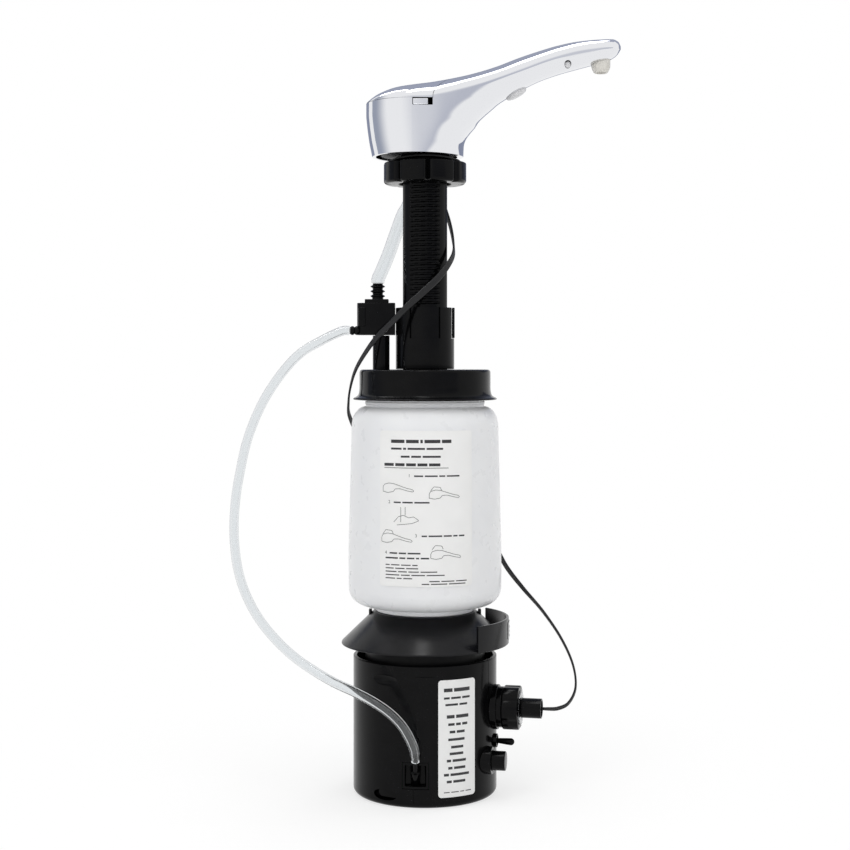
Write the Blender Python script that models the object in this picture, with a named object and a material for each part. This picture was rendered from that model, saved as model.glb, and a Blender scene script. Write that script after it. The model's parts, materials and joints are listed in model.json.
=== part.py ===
"""Automatic foam soap dispenser for a counter, standing on its power and pump module.

The origin is the middle of the module's flat foot. +Z is up, and the spout reaches out along +X.
The front, where the tubes and the bottle's label are, faces -Y.
"""
import math

import bmesh
import bpy
import numpy as np
from mathutils import Matrix, Vector

mm = 0.001

# Clearances and working values
gap = 0.3 * mm
slack = 0.6 * mm
overrun = 1.0 * mm
straight_end = 2.0 * mm
weld = 0.001 * mm
fine_sides = 36
round_sides = 28
small_sides = 14
tiny_sides = 10

# Power and pump module
module_radius = 49.3 * mm
module_height = 94.0 * mm
module_wall = 2.4 * mm
module_foot_round = 4.0 * mm
foot_rim = 1.1 * mm
base_plate_thick = 3.0 * mm
ledge_thick = 2.5 * mm
ledge_inner_radius = 36.0 * mm
shelf_height = 67.4 * mm
shelf_thick = 2.4 * mm
shelf_width = 2.3 * mm
screw_circle = 40.0 * mm
screw_head_radius = 3.2 * mm
screw_head_thick = 1.6 * mm
screw_radius = 1.5 * mm
screw_length = 3.6 * mm
screw_count = 3
screw_turn = math.radians(64.0)
groove_width = 0.6 * mm
groove_depth = 0.7 * mm
hose_seam_turn = math.radians(-98.8)
upper_seam_turn = math.radians(-29.9)
dimple_turn = math.radians(-123.0)
dimple_upper = 83.9 * mm
dimple_lower = 7.6 * mm
dimple_half_length = 10.4 * mm
dimple_half_height = 3.5 * mm
dimple_depth = 1.7 * mm
slot_length = 13.2 * mm
slot_height = 0.9 * mm
slot_level = 87.4 * mm

# Batteries, contact plates and control board
cell_radius = 17.1 * mm
cell_length = 61.5 * mm
cell_nub_radius = 5.2 * mm
cell_nub_height = 1.7 * mm
cell_edge = 1.0 * mm
cell_turn = math.radians(-10.0)
contact_radius = 41.0 * mm
contact_thick = 0.8 * mm
board_thick = 1.6 * mm
board_height = 50.0 * mm
board_low = 12.0 * mm

# Pump cup and pump
cup_wall_radius = 41.0 * mm
cup_wall = 2.2 * mm
cup_floor = 2.4 * mm
cup_top = 112.0 * mm
cup_flange_radius = 46.5 * mm
motor_radius = 12.0 * mm
motor_length = 24.0 * mm
motor_boss_radius = 4.0 * mm
motor_boss_height = 2.0 * mm
pump_line = -5.0 * mm
gear_spacing = 12.0 * mm
gear_teeth = 12
gear_outer_radius = 6.6 * mm
gear_root_radius = 4.9 * mm
gear_thick = 8.0 * mm
gear_shaft_radius = 1.0 * mm
gear_shaft_dip = 2.2 * mm
gear_root_share = 0.46
gear_tip_share = 0.18
pump_floor = 2.5 * mm
pump_wall = 3.2 * mm
pump_port_radius = 2.2 * mm
pump_pocket_half = 2.6 * mm
pump_cover_thick = 2.2 * mm
pump_spigot_radius = 5.5 * mm
pump_spigot_height = 8.3 * mm
pump_barb_radius = 2.4 * mm
pump_barb_length = 6.5 * mm
barb_bore = 1.4 * mm
inner_line_radius = 3.2 * mm
inner_line_reach = 34.8 * mm
inner_line_turn = math.radians(-100.0)

# Drip cone and its guard wall
cone_rim_radius = 57.5 * mm
cone_rim_height = 102.7 * mm
cone_top_radius = 35.3 * mm
cone_top_height = 124.1 * mm
cone_wall = 2.5 * mm
cone_rim_drop = 0.8 * mm
cone_rim_width = 1.6 * mm
guard_thick = 1.8 * mm
guard_top = 119.9 * mm
guard_start = math.radians(-52.4)
guard_end = math.radians(40.0)
hook_width = 5.0 * mm
hook_thick = 2.2 * mm
hook_rise = 2.4 * mm

guard_label_turn = math.radians(11.5)
guard_label_low = 105.2 * mm
guard_label_high = 117.0 * mm

# Bottle, cap and outlet
bottle_foot_radius = 34.3 * mm
bottle_foot_width = 3.3 * mm
bottle_foot_rise = 4.2 * mm
bottle_low_radius = 52.6 * mm
bottle_high_radius = 50.5 * mm
bottle_corner = 12.0 * mm
bottle_widest = 170.0 * mm
bottle_shoulder_low = 251.0 * mm
bottle_shoulder_high = 264.5 * mm
bottle_neck_radius = 40.8 * mm
bottle_mouth = 285.0 * mm
bottle_wall = 1.8 * mm
bottle_floor = 2.3 * mm
outlet_radius = 9.0 * mm
outlet_bore = 4.0 * mm
outlet_flange_radius = 13.0 * mm
outlet_flange_thick = 1.7 * mm
outlet_drop = 10.0 * mm
outlet_socket_depth = 7.5 * mm
outlet_seal_width = 2.8 * mm
label_thick = 0.2 * mm
bottle_label_start = math.radians(-125.3)
bottle_label_end = math.radians(-53.0)
bottle_label_low = 147.1 * mm
bottle_label_high = 249.7 * mm
cap_radius = 45.2 * mm
cap_top = 289.9 * mm
cap_low = 269.0 * mm
cap_flange_radius = 49.7 * mm
cap_flange_height = 1.6 * mm
cap_flare_height = 5.0 * mm
cap_edge = 2.6 * mm
cap_top_thick = 2.5 * mm
cap_play = 0.8 * mm
seal_thick = 1.8 * mm

# Shank, its socket on the cap, and the deck nut
shank_root_radius = 16.2 * mm
shank_crest_radius = 17.7 * mm
shank_half_width = 15.2 * mm
shank_back = -0.5 * mm
shank_wall = 2.2 * mm
shank_low = 284.0 * mm
thread_pitch = 3.3 * mm
thread_half_turn = math.radians(38.0)
thread_base_share = 0.52
thread_tip_share = 0.22
thread_low = 335.0 * mm
thread_high = 431.5 * mm
shank_collar_radius = 19.0 * mm
shank_collar_low = 433.0 * mm
shank_flange_radius = 21.0 * mm
shank_flange_half_width = 18.4 * mm
shank_flange_thick = 6.0 * mm
socket_radius = 20.2 * mm
socket_top = 332.3 * mm
socket_step = 311.1 * mm
socket_window_turn = math.radians(31.0)
socket_window_depth = 1.1 * mm
tab_thick = 1.9 * mm
tab_half_width = 6.0 * mm
tab_seat = 18.2 * mm
nut_low = 417.5 * mm
nut_high = 432.0 * mm
nut_lobe_radius = 28.6 * mm
nut_valley_radius = 25.6 * mm
nut_lobes = 8
nut_lobe_points = 6
nut_lobe_fullness = 0.35
nut_groove_turn = math.radians(-86.0)
nut_foot_chamfer = 1.6 * mm
nut_head_chamfer = 0.8 * mm
nut_bore = 18.1 * mm
nut_thread_depth = 1.5 * mm
nut_thread_sunk = 0.5 * mm
nut_thread_turns = 3.3
nut_thread_steps = 18
gasket_inner_radius = 19.5 * mm
gasket_radius = 24.5 * mm
gasket_thick = 1.3 * mm
gasket_wave = 0.9 * mm

# Spout
deck_height = 436.2 * mm
spout_rise = 81.1 * mm
spout_length = 175.5 * mm
tail_reach = 40.5 * mm
boss_foot_radius = 31.4 * mm
boss_foot_centre = -5.0 * mm
boss_top_radius = 32.0 * mm
boss_top_centre = -8.5 * mm
spout_wall = 2.5 * mm
seam_height = 472.4 * mm
lid_front = 20.0 * mm
lid_arc_radius = 40.6 * mm
hollow_nose_share = 1.6
lid_pin_x = 0.0 * mm
lid_pin_y = 26.0 * mm
lid_pin_radius = 2.0 * mm
lid_pin_low = 456.0 * mm
lid_pin_high = 475.2 * mm
lid_hub_radius = 4.6 * mm
lid_hub_low = 452.0 * mm
notch_left = -8.5 * mm
notch_right = 5.2 * mm
notch_depth = 4.8 * mm
keyhole_width = 3.2 * mm
latch_thick = 4.0 * mm
latch_inset = 0.6 * mm
latch_travel = 2.5 * mm
arm_root_roundness = 2.0
arm_side_roundness = 6.0
crown_roundness = 2.4

# Outline of the spout from the side: places along it from tail to tip, and heights above the deck
tail_shares = ((0.0, 0.0234), (0.15, 0.0211), (0.3, 0.0131), (0.5, 0.0091), (0.75, 0.0), (1.0, 0.0))
top_line_shares = (
    (0.0, 0.452), (0.051, 0.523), (0.12, 0.577), (0.183, 0.6), (0.27, 0.627), (0.364, 0.667),
    (0.438, 0.709), (0.517, 0.766), (0.595, 0.834), (0.674, 0.893), (0.751, 0.943), (0.827, 0.977),
    (0.906, 0.994), (0.965, 0.999), (0.99, 0.978), (1.0, 0.94))
edge_line_shares = (
    (0.0, 0.4464), (0.24, 0.4464), (0.3, 0.472), (0.364, 0.512), (0.438, 0.562), (0.52, 0.626),
    (0.614, 0.703), (0.707, 0.783), (0.802, 0.846), (0.848, 0.868), (0.915, 0.89), (0.98, 0.91),
    (1.0, 0.925))
under_line_shares = (
    (0.3812, 0.0), (0.3835, 0.097), (0.391, 0.148), (0.407, 0.2), (0.427, 0.25), (0.442, 0.301),
    (0.466, 0.353), (0.493, 0.403), (0.521, 0.455), (0.564, 0.514), (0.643, 0.608), (0.694, 0.658),
    (0.765, 0.71), (0.879, 0.778), (0.95, 0.82), (0.985, 0.867), (1.0, 0.915))
arm_width_shares = (
    (0.182, 1.0), (0.27, 0.97), (0.345, 0.895), (0.43, 0.765), (0.52, 0.63), (0.63, 0.515),
    (0.74, 0.445), (0.86, 0.405), (0.93, 0.385), (0.965, 0.33), (0.988, 0.2), (1.0, 0.06))
tail_lean_shares = ((0.0, 1.0), (0.1, 0.83), (0.25, 0.56), (0.45, 0.3), (0.6, 0.14), (0.8, 0.0), (1.0, 0.0))
arm_station_shares = (
    0.225, 0.27, 0.31, 0.34, 0.362, 0.374, 0.381, 0.386, 0.398, 0.42, 0.455, 0.5, 0.56, 0.63, 0.7,
    0.77, 0.835, 0.89, 0.93, 0.96, 0.98, 0.992, 0.999)
cavity_station_shares = (
    0.27, 0.31, 0.335, 0.352, 0.362, 0.3665, 0.374, 0.39, 0.42, 0.47, 0.54, 0.62, 0.71, 0.8, 0.88,
    0.935)
tail_lean = 4.1 * mm
tail_steps = 9
side_steps = 7
crown_steps = 5

# Pieces in and on the spout
plate_thick = 3.0 * mm
plate_radius = 25.4 * mm
plate_rise = 0.8 * mm
funnel_mouth_radius = 21.0 * mm
funnel_mouth_x = -8.0 * mm
funnel_mouth_y = -2.0 * mm
funnel_mouth_height = 471.2 * mm
funnel_neck_half_width = 13.8 * mm
funnel_neck_half_depth = 7.0 * mm
funnel_neck_y = -8.3 * mm
funnel_wall = 2.0 * mm
foam_tube_radius = 4.6 * mm
foam_tube_x = -10.1 * mm
foam_tube_y = 4.45 * mm
foam_tube_top = 441.0 * mm
cable_x = 9.5 * mm
cable_y = 6.4 * mm
cable_width = 4.5 * mm
cable_thick = 1.5 * mm
nozzle_x = 121.3 * mm
nozzle_radius = 6.5 * mm
nozzle_tip_radius = 4.6 * mm
nozzle_bore = 3.2 * mm
nozzle_drop = 6.97 * mm
nozzle_taper_length = 3.0 * mm
nozzle_length = 13.8 * mm
nozzle_inlet_depth = 3.0 * mm
nozzle_inlet_radius = 1.8 * mm
screen_thick = 0.6 * mm
screen_rise = 4.8 * mm
screen_rim = 1.0 * mm
foam_line_radius = 2.6 * mm
lens_x = 62.7 * mm
lens_half_length = 7.6 * mm
lens_half_width = 5.4 * mm
lens_proud = 3.0 * mm
lens_depth = 6.5 * mm
lens_tilt = math.radians(28.8)
lens_drop_share = 0.585
sensor_board_length = 20.0 * mm
sensor_board_width = 13.0 * mm
light_x = 97.6 * mm
light_share = 0.4
light_radius = 2.1 * mm
light_length = 4.0 * mm
light_recess = 0.8 * mm

# Mixing block on the cap and its riser
riser_x = -30.2 * mm
riser_radius = 5.85 * mm
riser_bore = 2.2 * mm
block_left = -46.8 * mm
block_half_depth = 8.0 * mm
block_low = 313.5 * mm
block_high = 335.6 * mm
block_round = 6.0 * mm
block_step_left = -41.4 * mm
block_step_right = -25.0 * mm
block_step_half_depth = 6.4 * mm
block_step_height = 2.6 * mm
foam_barb_x = -32.6 * mm
foam_barb_radius = 3.4 * mm
foam_barb_ring_radius = 5.0 * mm
foam_barb_height = 11.0 * mm
foam_barb_rings = 3
soap_barb_turn = math.radians(194.0)
soap_barb_height = 316.6 * mm
soap_barb_reach = 22.2 * mm
soap_barb_start = 12.0 * mm
soap_barb_radius = 2.3 * mm
soap_barb_ring_radius = 3.1 * mm
ball_radius = 3.0 * mm
ball_chamber_radius = 3.9 * mm
ball_chamber_height = 9.0 * mm

# Fittings on the module's right side
panel_turn = math.radians(-12.0)
plug_clearance = 1.7 * mm
socket_body_radius = 8.6 * mm
plug_height = shelf_height + shelf_thick - socket_body_radius - plug_clearance
socket_flange_radius = 15.2 * mm
socket_flange_out = 51.6 * mm
socket_boss_radius = 13.8 * mm
socket_boss_out = 55.0 * mm
socket_thread_radius = 12.3 * mm
socket_thread_out = 64.4 * mm
socket_back = 38.5 * mm
socket_mouth_back = 52.2 * mm
ring_nut_out = 66.3 * mm
ring_nut_radius = 15.2 * mm
ring_nut_valley_radius = 13.9 * mm
ring_nut_lobes = 6
ring_nut_lip = 1.3 * mm
plug_stem_radius = 6.2 * mm
plug_body_radius = 6.7 * mm
plug_end = 81.1 * mm
washer_thick = 0.5 * mm
washer_radius = 11.7 * mm
toggle_side = -2.2 * mm
toggle_drop = 22.5 * mm
toggle_height = plug_height - toggle_drop
toggle_bush_radius = 4.6 * mm
toggle_body_back = 37.5 * mm
toggle_out = 51.0 * mm
toggle_pivot = 48.6 * mm
toggle_tip = 63.2 * mm
toggle_root_radius = 1.7 * mm
toggle_tip_radius = 2.4 * mm
toggle_mouth_radius = 3.4 * mm
toggle_rest = math.radians(-10.0)
button_side = -15.8 * mm
button_drop = 32.9 * mm
button_height = plug_height - button_drop
button_bezel_radius = 9.2 * mm
button_body_radius = 8.0 * mm
button_bezel_out = 49.9 * mm
button_back = 38.0 * mm
button_radius = 6.5 * mm
button_out = 59.0 * mm
button_travel = 3.0 * mm
button_cup_floor = 3.0 * mm

# Hose plate in the module's front
hose_plate_centre = -6.3 * mm
hose_plate_low = 12.9 * mm
hose_plate_size = 17.8 * mm
hose_plate_back = 39.6 * mm
hose_plate_wall = 1.5 * mm
nipple_foot_out = 43.6 * mm
nipple_foot_height = 17.6 * mm
nipple_end_out = 54.4 * mm
nipple_end_height = 33.4 * mm
nipple_block_radius = 3.1 * mm
nipple_radius = 1.8 * mm
nipple_step_share = 0.45
elbow_height = 25.0 * mm
elbow_top = 31.6 * mm
elbow_radius = 2.4 * mm

# Module label
module_label_start = math.radians(-80.0)
module_label_end = math.radians(-48.0)
module_label_low = 7.4 * mm
module_label_high = 84.9 * mm

# Routes of the free tubes and the flat cable, in millimetres
foam_tube_route = (
    (-10.1, 4.45, 441.0), (-10.1, 4.45, 425.0), (-10.1, 4.45, 409.0), (-12.0, 4.4, 402.5),
    (-15.4, 4.4, 396.5), (-20.3, 3.8, 383.0), (-25.3, 2.6, 369.0), (-29.6, 1.1, 358.5),
    (-32.2, 0.2, 352.6), (-32.6, 0.0, 349.5))
soap_tube_route = (
    (-52.1, -5.45, 316.6), (-57.5, -6.8, 316.0), (-71.0, -10.5, 309.5), (-85.5, -12.5, 300.5),
    (-99.0, -13.5, 285.5), (-111.0, -14.0, 266.5), (-120.5, -14.5, 243.5), (-126.0, -15.0, 219.5),
    (-129.0, -16.0, 199.0), (-129.6, -18.0, 178.5), (-127.2, -21.0, 158.0), (-121.8, -25.5, 141.0),
    (-112.4, -31.0, 124.5), (-99.6, -37.0, 110.0), (-84.0, -43.5, 97.5), (-63.0, -52.0, 86.0),
    (-46.0, -57.0, 79.0), (-32.5, -60.5, 72.5), (-21.8, -61.5, 65.0), (-13.6, -60.6, 55.5),
    (-7.6, -58.6, 43.0), (-6.5, -56.2, 36.4), (-6.3, -54.6, 33.9))
cable_route = (
    (46.5, 0.0, 479.0), (40.0, 0.6, 474.8), (31.0, 2.4, 469.4), (22.0, 5.2, 462.6),
    (14.6, 6.6, 454.6), (10.4, 6.6, 445.4), (9.5, 6.4, 434.0), (9.8, 6.4, 412.5), (13.6, 6.6, 402.0),
    (17.2, 5.6, 390.5), (19.4, 1.6, 379.0), (19.6, -6.4, 369.5), (16.0, -15.2, 361.5),
    (8.9, -21.0, 352.0), (-2.0, -23.6, 341.5), (-12.3, -24.4, 332.2), (-22.6, -22.0, 321.5),
    (-33.0, -17.6, 311.5), (-41.2, -12.6, 300.5), (-47.6, -7.0, 289.6), (-51.2, -1.6, 278.6),
    (-52.9, 3.6, 268.0), (-52.6, 12.0, 257.0), (-45.6, 32.0, 243.0), (-26.0, 51.0, 226.0),
    (2.0, 58.2, 207.0), (30.0, 50.6, 186.5), (47.6, 34.6, 167.0), (57.6, 20.6, 150.5),
    (68.6, 11.0, 137.0), (81.5, 4.4, 122.5), (93.6, -2.0, 105.0), (101.2, -8.4, 88.0),
    (102.6, -14.0, 73.5), (97.6, -17.6, 63.6), (90.2, -18.5, 60.0), (83.0, -17.7, 59.5),
    (79.7, -17.0, 59.5))
inner_line_route = (
    (0.0, -21.9, 105.6), (0.0, -26.0, 105.4), (-1.6, -31.0, 102.0), (-4.4, -33.8, 94.0),
    (-6.0, -34.3, 84.0), (-6.0, -34.3, 60.0), (-6.0, -34.3, 40.0), (-6.0, -34.3, 31.9))
foam_line_route = (
    (-10.1, 4.45, 441.3), (-10.1, 4.45, 443.5), (-8.8, 9.6, 451.0), (-2.6, 15.6, 459.5),
    (8.0, 17.6, 468.5), (20.0, 14.6, 475.5), (35.0, 9.6, 482.5), (52.0, 6.2, 489.6),
    (70.0, 4.4, 497.6), (88.0, 2.4, 502.6), (104.0, 0.5, 505.0), (114.5, 0.0, 505.0))

# Finishes
chrome_colour = (0.80, 0.81, 0.83)
black_colour = (0.02, 0.02, 0.022)
rubber_colour = (0.03, 0.03, 0.03)
bottle_colour = (0.86, 0.87, 0.88)
clear_colour = (0.82, 0.85, 0.86)
label_colour = (0.93, 0.93, 0.92)
cream_colour = (0.80, 0.78, 0.73)
steel_colour = (0.55, 0.56, 0.58)
grey_colour = (0.25, 0.25, 0.26)
board_colour = (0.05, 0.25, 0.12)
green_colour = (0.10, 0.45, 0.20)


def clear_scene():
    for obj in list(bpy.data.objects):
        bpy.data.objects.remove(obj)


def make_finish(name, colour, roughness, metallic=0.0):
    finish = bpy.data.materials.new(name)
    finish.use_nodes = True
    shader = finish.node_tree.nodes["Principled BSDF"]
    shader.inputs["Base Color"].default_value = (*colour, 1.0)
    shader.inputs["Roughness"].default_value = roughness
    shader.inputs["Metallic"].default_value = metallic
    finish.diffuse_color = (*colour, 1.0)
    return finish


def object_from(name, bm, finish):
    """Turn a bmesh into a smooth shaded object with its faces pointing out."""
    bmesh.ops.remove_doubles(bm, verts=bm.verts, dist=weld)
    bmesh.ops.recalc_face_normals(bm, faces=bm.faces)
    mesh = bpy.data.meshes.new(name)
    bm.to_mesh(mesh)
    bm.free()
    mesh.shade_smooth()
    mesh.set_sharp_from_angle(angle=math.radians(35.0))
    mesh.materials.append(finish)
    obj = bpy.data.objects.new(name, mesh)
    bpy.context.collection.objects.link(obj)
    return obj


def as_guide(obj):
    obj.hide_render = True
    obj.display_type = "WIRE"
    return obj


def combine(target, tool, operation):
    """Add a Boolean to the target. The tool becomes a guide, which is not part of the model."""
    modifier = target.modifiers.new(operation.lower(), "BOOLEAN")
    modifier.operation = operation
    modifier.solver = "EXACT"
    modifier.object = as_guide(tool)
    return target


def cut(target, *tools):
    for tool in tools:
        combine(target, tool, "DIFFERENCE")
    return target


def join(target, *tools):
    for tool in tools:
        combine(target, tool, "UNION")
    return target


def put_origin(obj, point):
    """Move an object's origin to a point, with its mesh left where it is."""
    obj.data.transform(Matrix.Translation(-Vector(point)))
    obj.location = point
    return obj


def turned(name, profile, sides, finish, frame=None):
    """Turn an outline of (radius, height) points about the vertical axis.

    An outline that starts and ends on the axis stays open there. Any other outline is closed.
    """
    bm = bmesh.new()
    verts = [bm.verts.new((radius, 0.0, height)) for radius, height in profile]
    pairs = list(zip(verts[:-1], verts[1:]))
    if profile[0][0] > 0 or profile[-1][0] > 0:
        pairs.append((verts[-1], verts[0]))
    edges = [bm.edges.new(pair) for pair in pairs]
    bmesh.ops.spin(
        bm, geom=verts + edges, axis=(0, 0, 1), cent=(0, 0, 0), angle=math.tau, steps=sides,
        use_merge=True)
    if frame is not None:
        bmesh.ops.transform(bm, matrix=frame, verts=bm.verts)
    return object_from(name, bm, finish)


def cylinder(name, radius, low, high, sides, finish, frame=None):
    return turned(name, ((0, low), (radius, low), (radius, high), (0, high)), sides, finish, frame)


def prism(name, outline, low, high, finish, frame=None):
    """Extrude a flat outline of (x, y) points from one height to another."""
    bm = bmesh.new()
    face = bm.faces.new([bm.verts.new((x, y, low)) for x, y in outline])
    grown = bmesh.ops.extrude_face_region(bm, geom=[face])
    moved = [item for item in grown["geom"] if isinstance(item, bmesh.types.BMVert)]
    bmesh.ops.translate(bm, vec=(0, 0, high - low), verts=moved)
    if frame is not None:
        bmesh.ops.transform(bm, matrix=frame, verts=bm.verts)
    return object_from(name, bm, finish)


def block(name, low, high, finish, frame=None):
    outline = ((low[0], low[1]), (high[0], low[1]), (high[0], high[1]), (low[0], high[1]))
    return prism(name, outline, low[2], high[2], finish, frame)


def loft(name, rings, finish, closed=False):
    """Skin a row of rings of points, with a flat cap at each end unless the row is closed."""
    bm = bmesh.new()
    rows = [[bm.verts.new(point) for point in ring] for ring in rings]
    pairs = list(zip(rows[:-1], rows[1:]))
    if closed:
        pairs.append((rows[-1], rows[0]))
    else:
        bm.faces.new(list(reversed(rows[0])))
        bm.faces.new(rows[-1])
    for low, high in pairs:
        for i in range(len(low)):
            bm.faces.new((low[i - 1], low[i], high[i], high[i - 1]))
    return object_from(name, bm, finish)


def ring_points(centre, radius, sides, depth=None):
    """A level circle of points, or an oval when its depth along Y is given."""
    depth = depth or radius
    return [
        (centre[0] + radius * math.cos(math.tau * i / sides),
         centre[1] + depth * math.sin(math.tau * i / sides), centre[2]) for i in range(sides)]


def arc(centre, radius, start, end, steps):
    """Points of an arc in a plane, from one angle to another."""
    angles = [start + (end - start) * i / steps for i in range(steps + 1)]
    return [(centre[0] + radius * math.cos(a), centre[1] + radius * math.sin(a)) for a in angles]


def sector(inner, outer, start, end, steps):
    """Outline of a piece of a ring between two angles."""
    return arc((0, 0), outer, start, end, steps) + arc((0, 0), inner, end, start, steps)


def outward_frame(turn, side, height):
    """A frame whose local Z points out from the module at an angle, X sideways and Y up."""
    out = Vector((math.cos(turn), math.sin(turn), 0))
    up = Vector((0, 0, 1))
    across = up.cross(out)
    rows = Matrix((across, up, out)).transposed().to_4x4()
    return Matrix.Translation(across * side + up * height) @ rows


def smooth_slopes(places, values):
    """Slopes that let a cubic pass through its points without overshooting."""
    steps = np.diff(places)
    rises = np.diff(values) / steps
    slopes = np.concatenate((rises[:1], np.zeros(len(rises) - 1), rises[-1:]))
    same = rises[:-1] * rises[1:] > 0
    before, after = rises[:-1][same], rises[1:][same]
    slopes[1:-1][same] = 2 * before * after / (before + after)
    return slopes


def smooth_line(table, at):
    """A smooth curve through a table of (place, value) pairs, read at one or more places."""
    places, values = np.array(table, dtype=float).T
    slopes = smooth_slopes(places, values)
    at = np.clip(at, places[0], places[-1])
    i = np.clip(np.searchsorted(places, at) - 1, 0, len(places) - 2)
    step = places[i + 1] - places[i]
    t = (at - places[i]) / step
    near = (1 + 2 * t) * (1 - t) ** 2 * values[i] + t * (1 - t) ** 2 * step * slopes[i]
    far = t * t * (3 - 2 * t) * values[i + 1] + t * t * (t - 1) * step * slopes[i + 1]
    return near + far


def smooth_route(route, spacing):
    """Even points along one smooth curve through a route's own points."""
    points = np.array(route, dtype=float) * mm
    padded = np.vstack((2 * points[0] - points[1], points, 2 * points[-1] - points[-2]))
    fine = []
    per_span = 12
    for i in range(len(points) - 1):
        a, b, c, d = padded[i:i + 4]
        for t in np.arange(per_span) / per_span:
            fine.append(0.5 * (2 * b + (c - a) * t + (2 * a - 5 * b + 4 * c - d) * t ** 2
                               + (3 * b - a - 3 * c + d) * t ** 3))
    fine = np.array(fine + [points[-1]])
    along = np.concatenate(([0], np.cumsum(np.linalg.norm(np.diff(fine, axis=0), axis=1))))
    count = max(2, round(along[-1] / spacing) + 1)
    even = np.linspace(0, along[-1], count)
    even = np.insert(even, (1, count - 1), (straight_end, along[-1] - straight_end))
    return np.stack([np.interp(even, along, fine[:, axis]) for axis in range(3)], axis=1)


def tube(name, route, radius, resolution, finish):
    """A solid round tube along a route."""
    curve = bpy.data.curves.new(name, "CURVE")
    curve.dimensions = "3D"
    curve.bevel_depth = radius
    curve.bevel_resolution = resolution
    curve.use_fill_caps = True
    points = smooth_route(route, 4 * radius)
    spline = curve.splines.new("POLY")
    spline.points.add(len(points) - 1)
    for point, place in zip(spline.points, points):
        point.co = (*place, 1.0)
    curve.materials.append(finish)
    obj = bpy.data.objects.new(name, curve)
    bpy.context.collection.objects.link(obj)
    return obj


def flat_cable(name, route, width, thick, finish):
    """A flat cable whose broad side faces away from the module's axis."""
    points = smooth_route(route, 2.2 * width)
    tangents = np.gradient(points, axis=0)
    tangents /= np.linalg.norm(tangents, axis=1)[:, None]
    faces_out = points * (1, 1, 0)
    faces_out -= (faces_out * tangents).sum(axis=1)[:, None] * tangents
    faces_out /= np.linalg.norm(faces_out, axis=1)[:, None]
    broad = np.cross(tangents, faces_out)
    rings = []
    for place, across, out in zip(points, broad, faces_out):
        corners = ((1, 1), (-1, 1), (-1, -1), (1, -1))
        rings.append([place + across * a * width / 2 + out * b * thick / 2 for a, b in corners])
    return loft(name, rings, finish)


def shell_patch(name, radius_at, thick, start, end, low, high, columns, rows, finish):
    """A thin sheet wrapped on a turned surface, between two angles and two heights."""
    def face(offset):
        sheet = []
        for j in range(rows + 1):
            height = low + (high - low) * j / rows
            radius = radius_at(height) + offset
            sheet.append([
                (radius * math.cos(start + (end - start) * i / columns),
                 radius * math.sin(start + (end - start) * i / columns), height)
                for i in range(columns + 1)])
        return sheet

    outer, inner = face(thick), face(0.0)
    rings = [list(row_out) + list(reversed(row_in)) for row_out, row_in in zip(outer, inner)]
    return loft(name, rings, finish)


def d_outline(radius, half_width, back):
    """Half round outline of the shank: round in front, flat at both sides and at the back."""
    reach = math.asin(half_width / radius)
    front = arc((0, 0), radius, -math.pi / 2 - reach, -math.pi / 2 + reach, 12)
    return front + [(half_width, back), (-half_width, back)]


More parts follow.
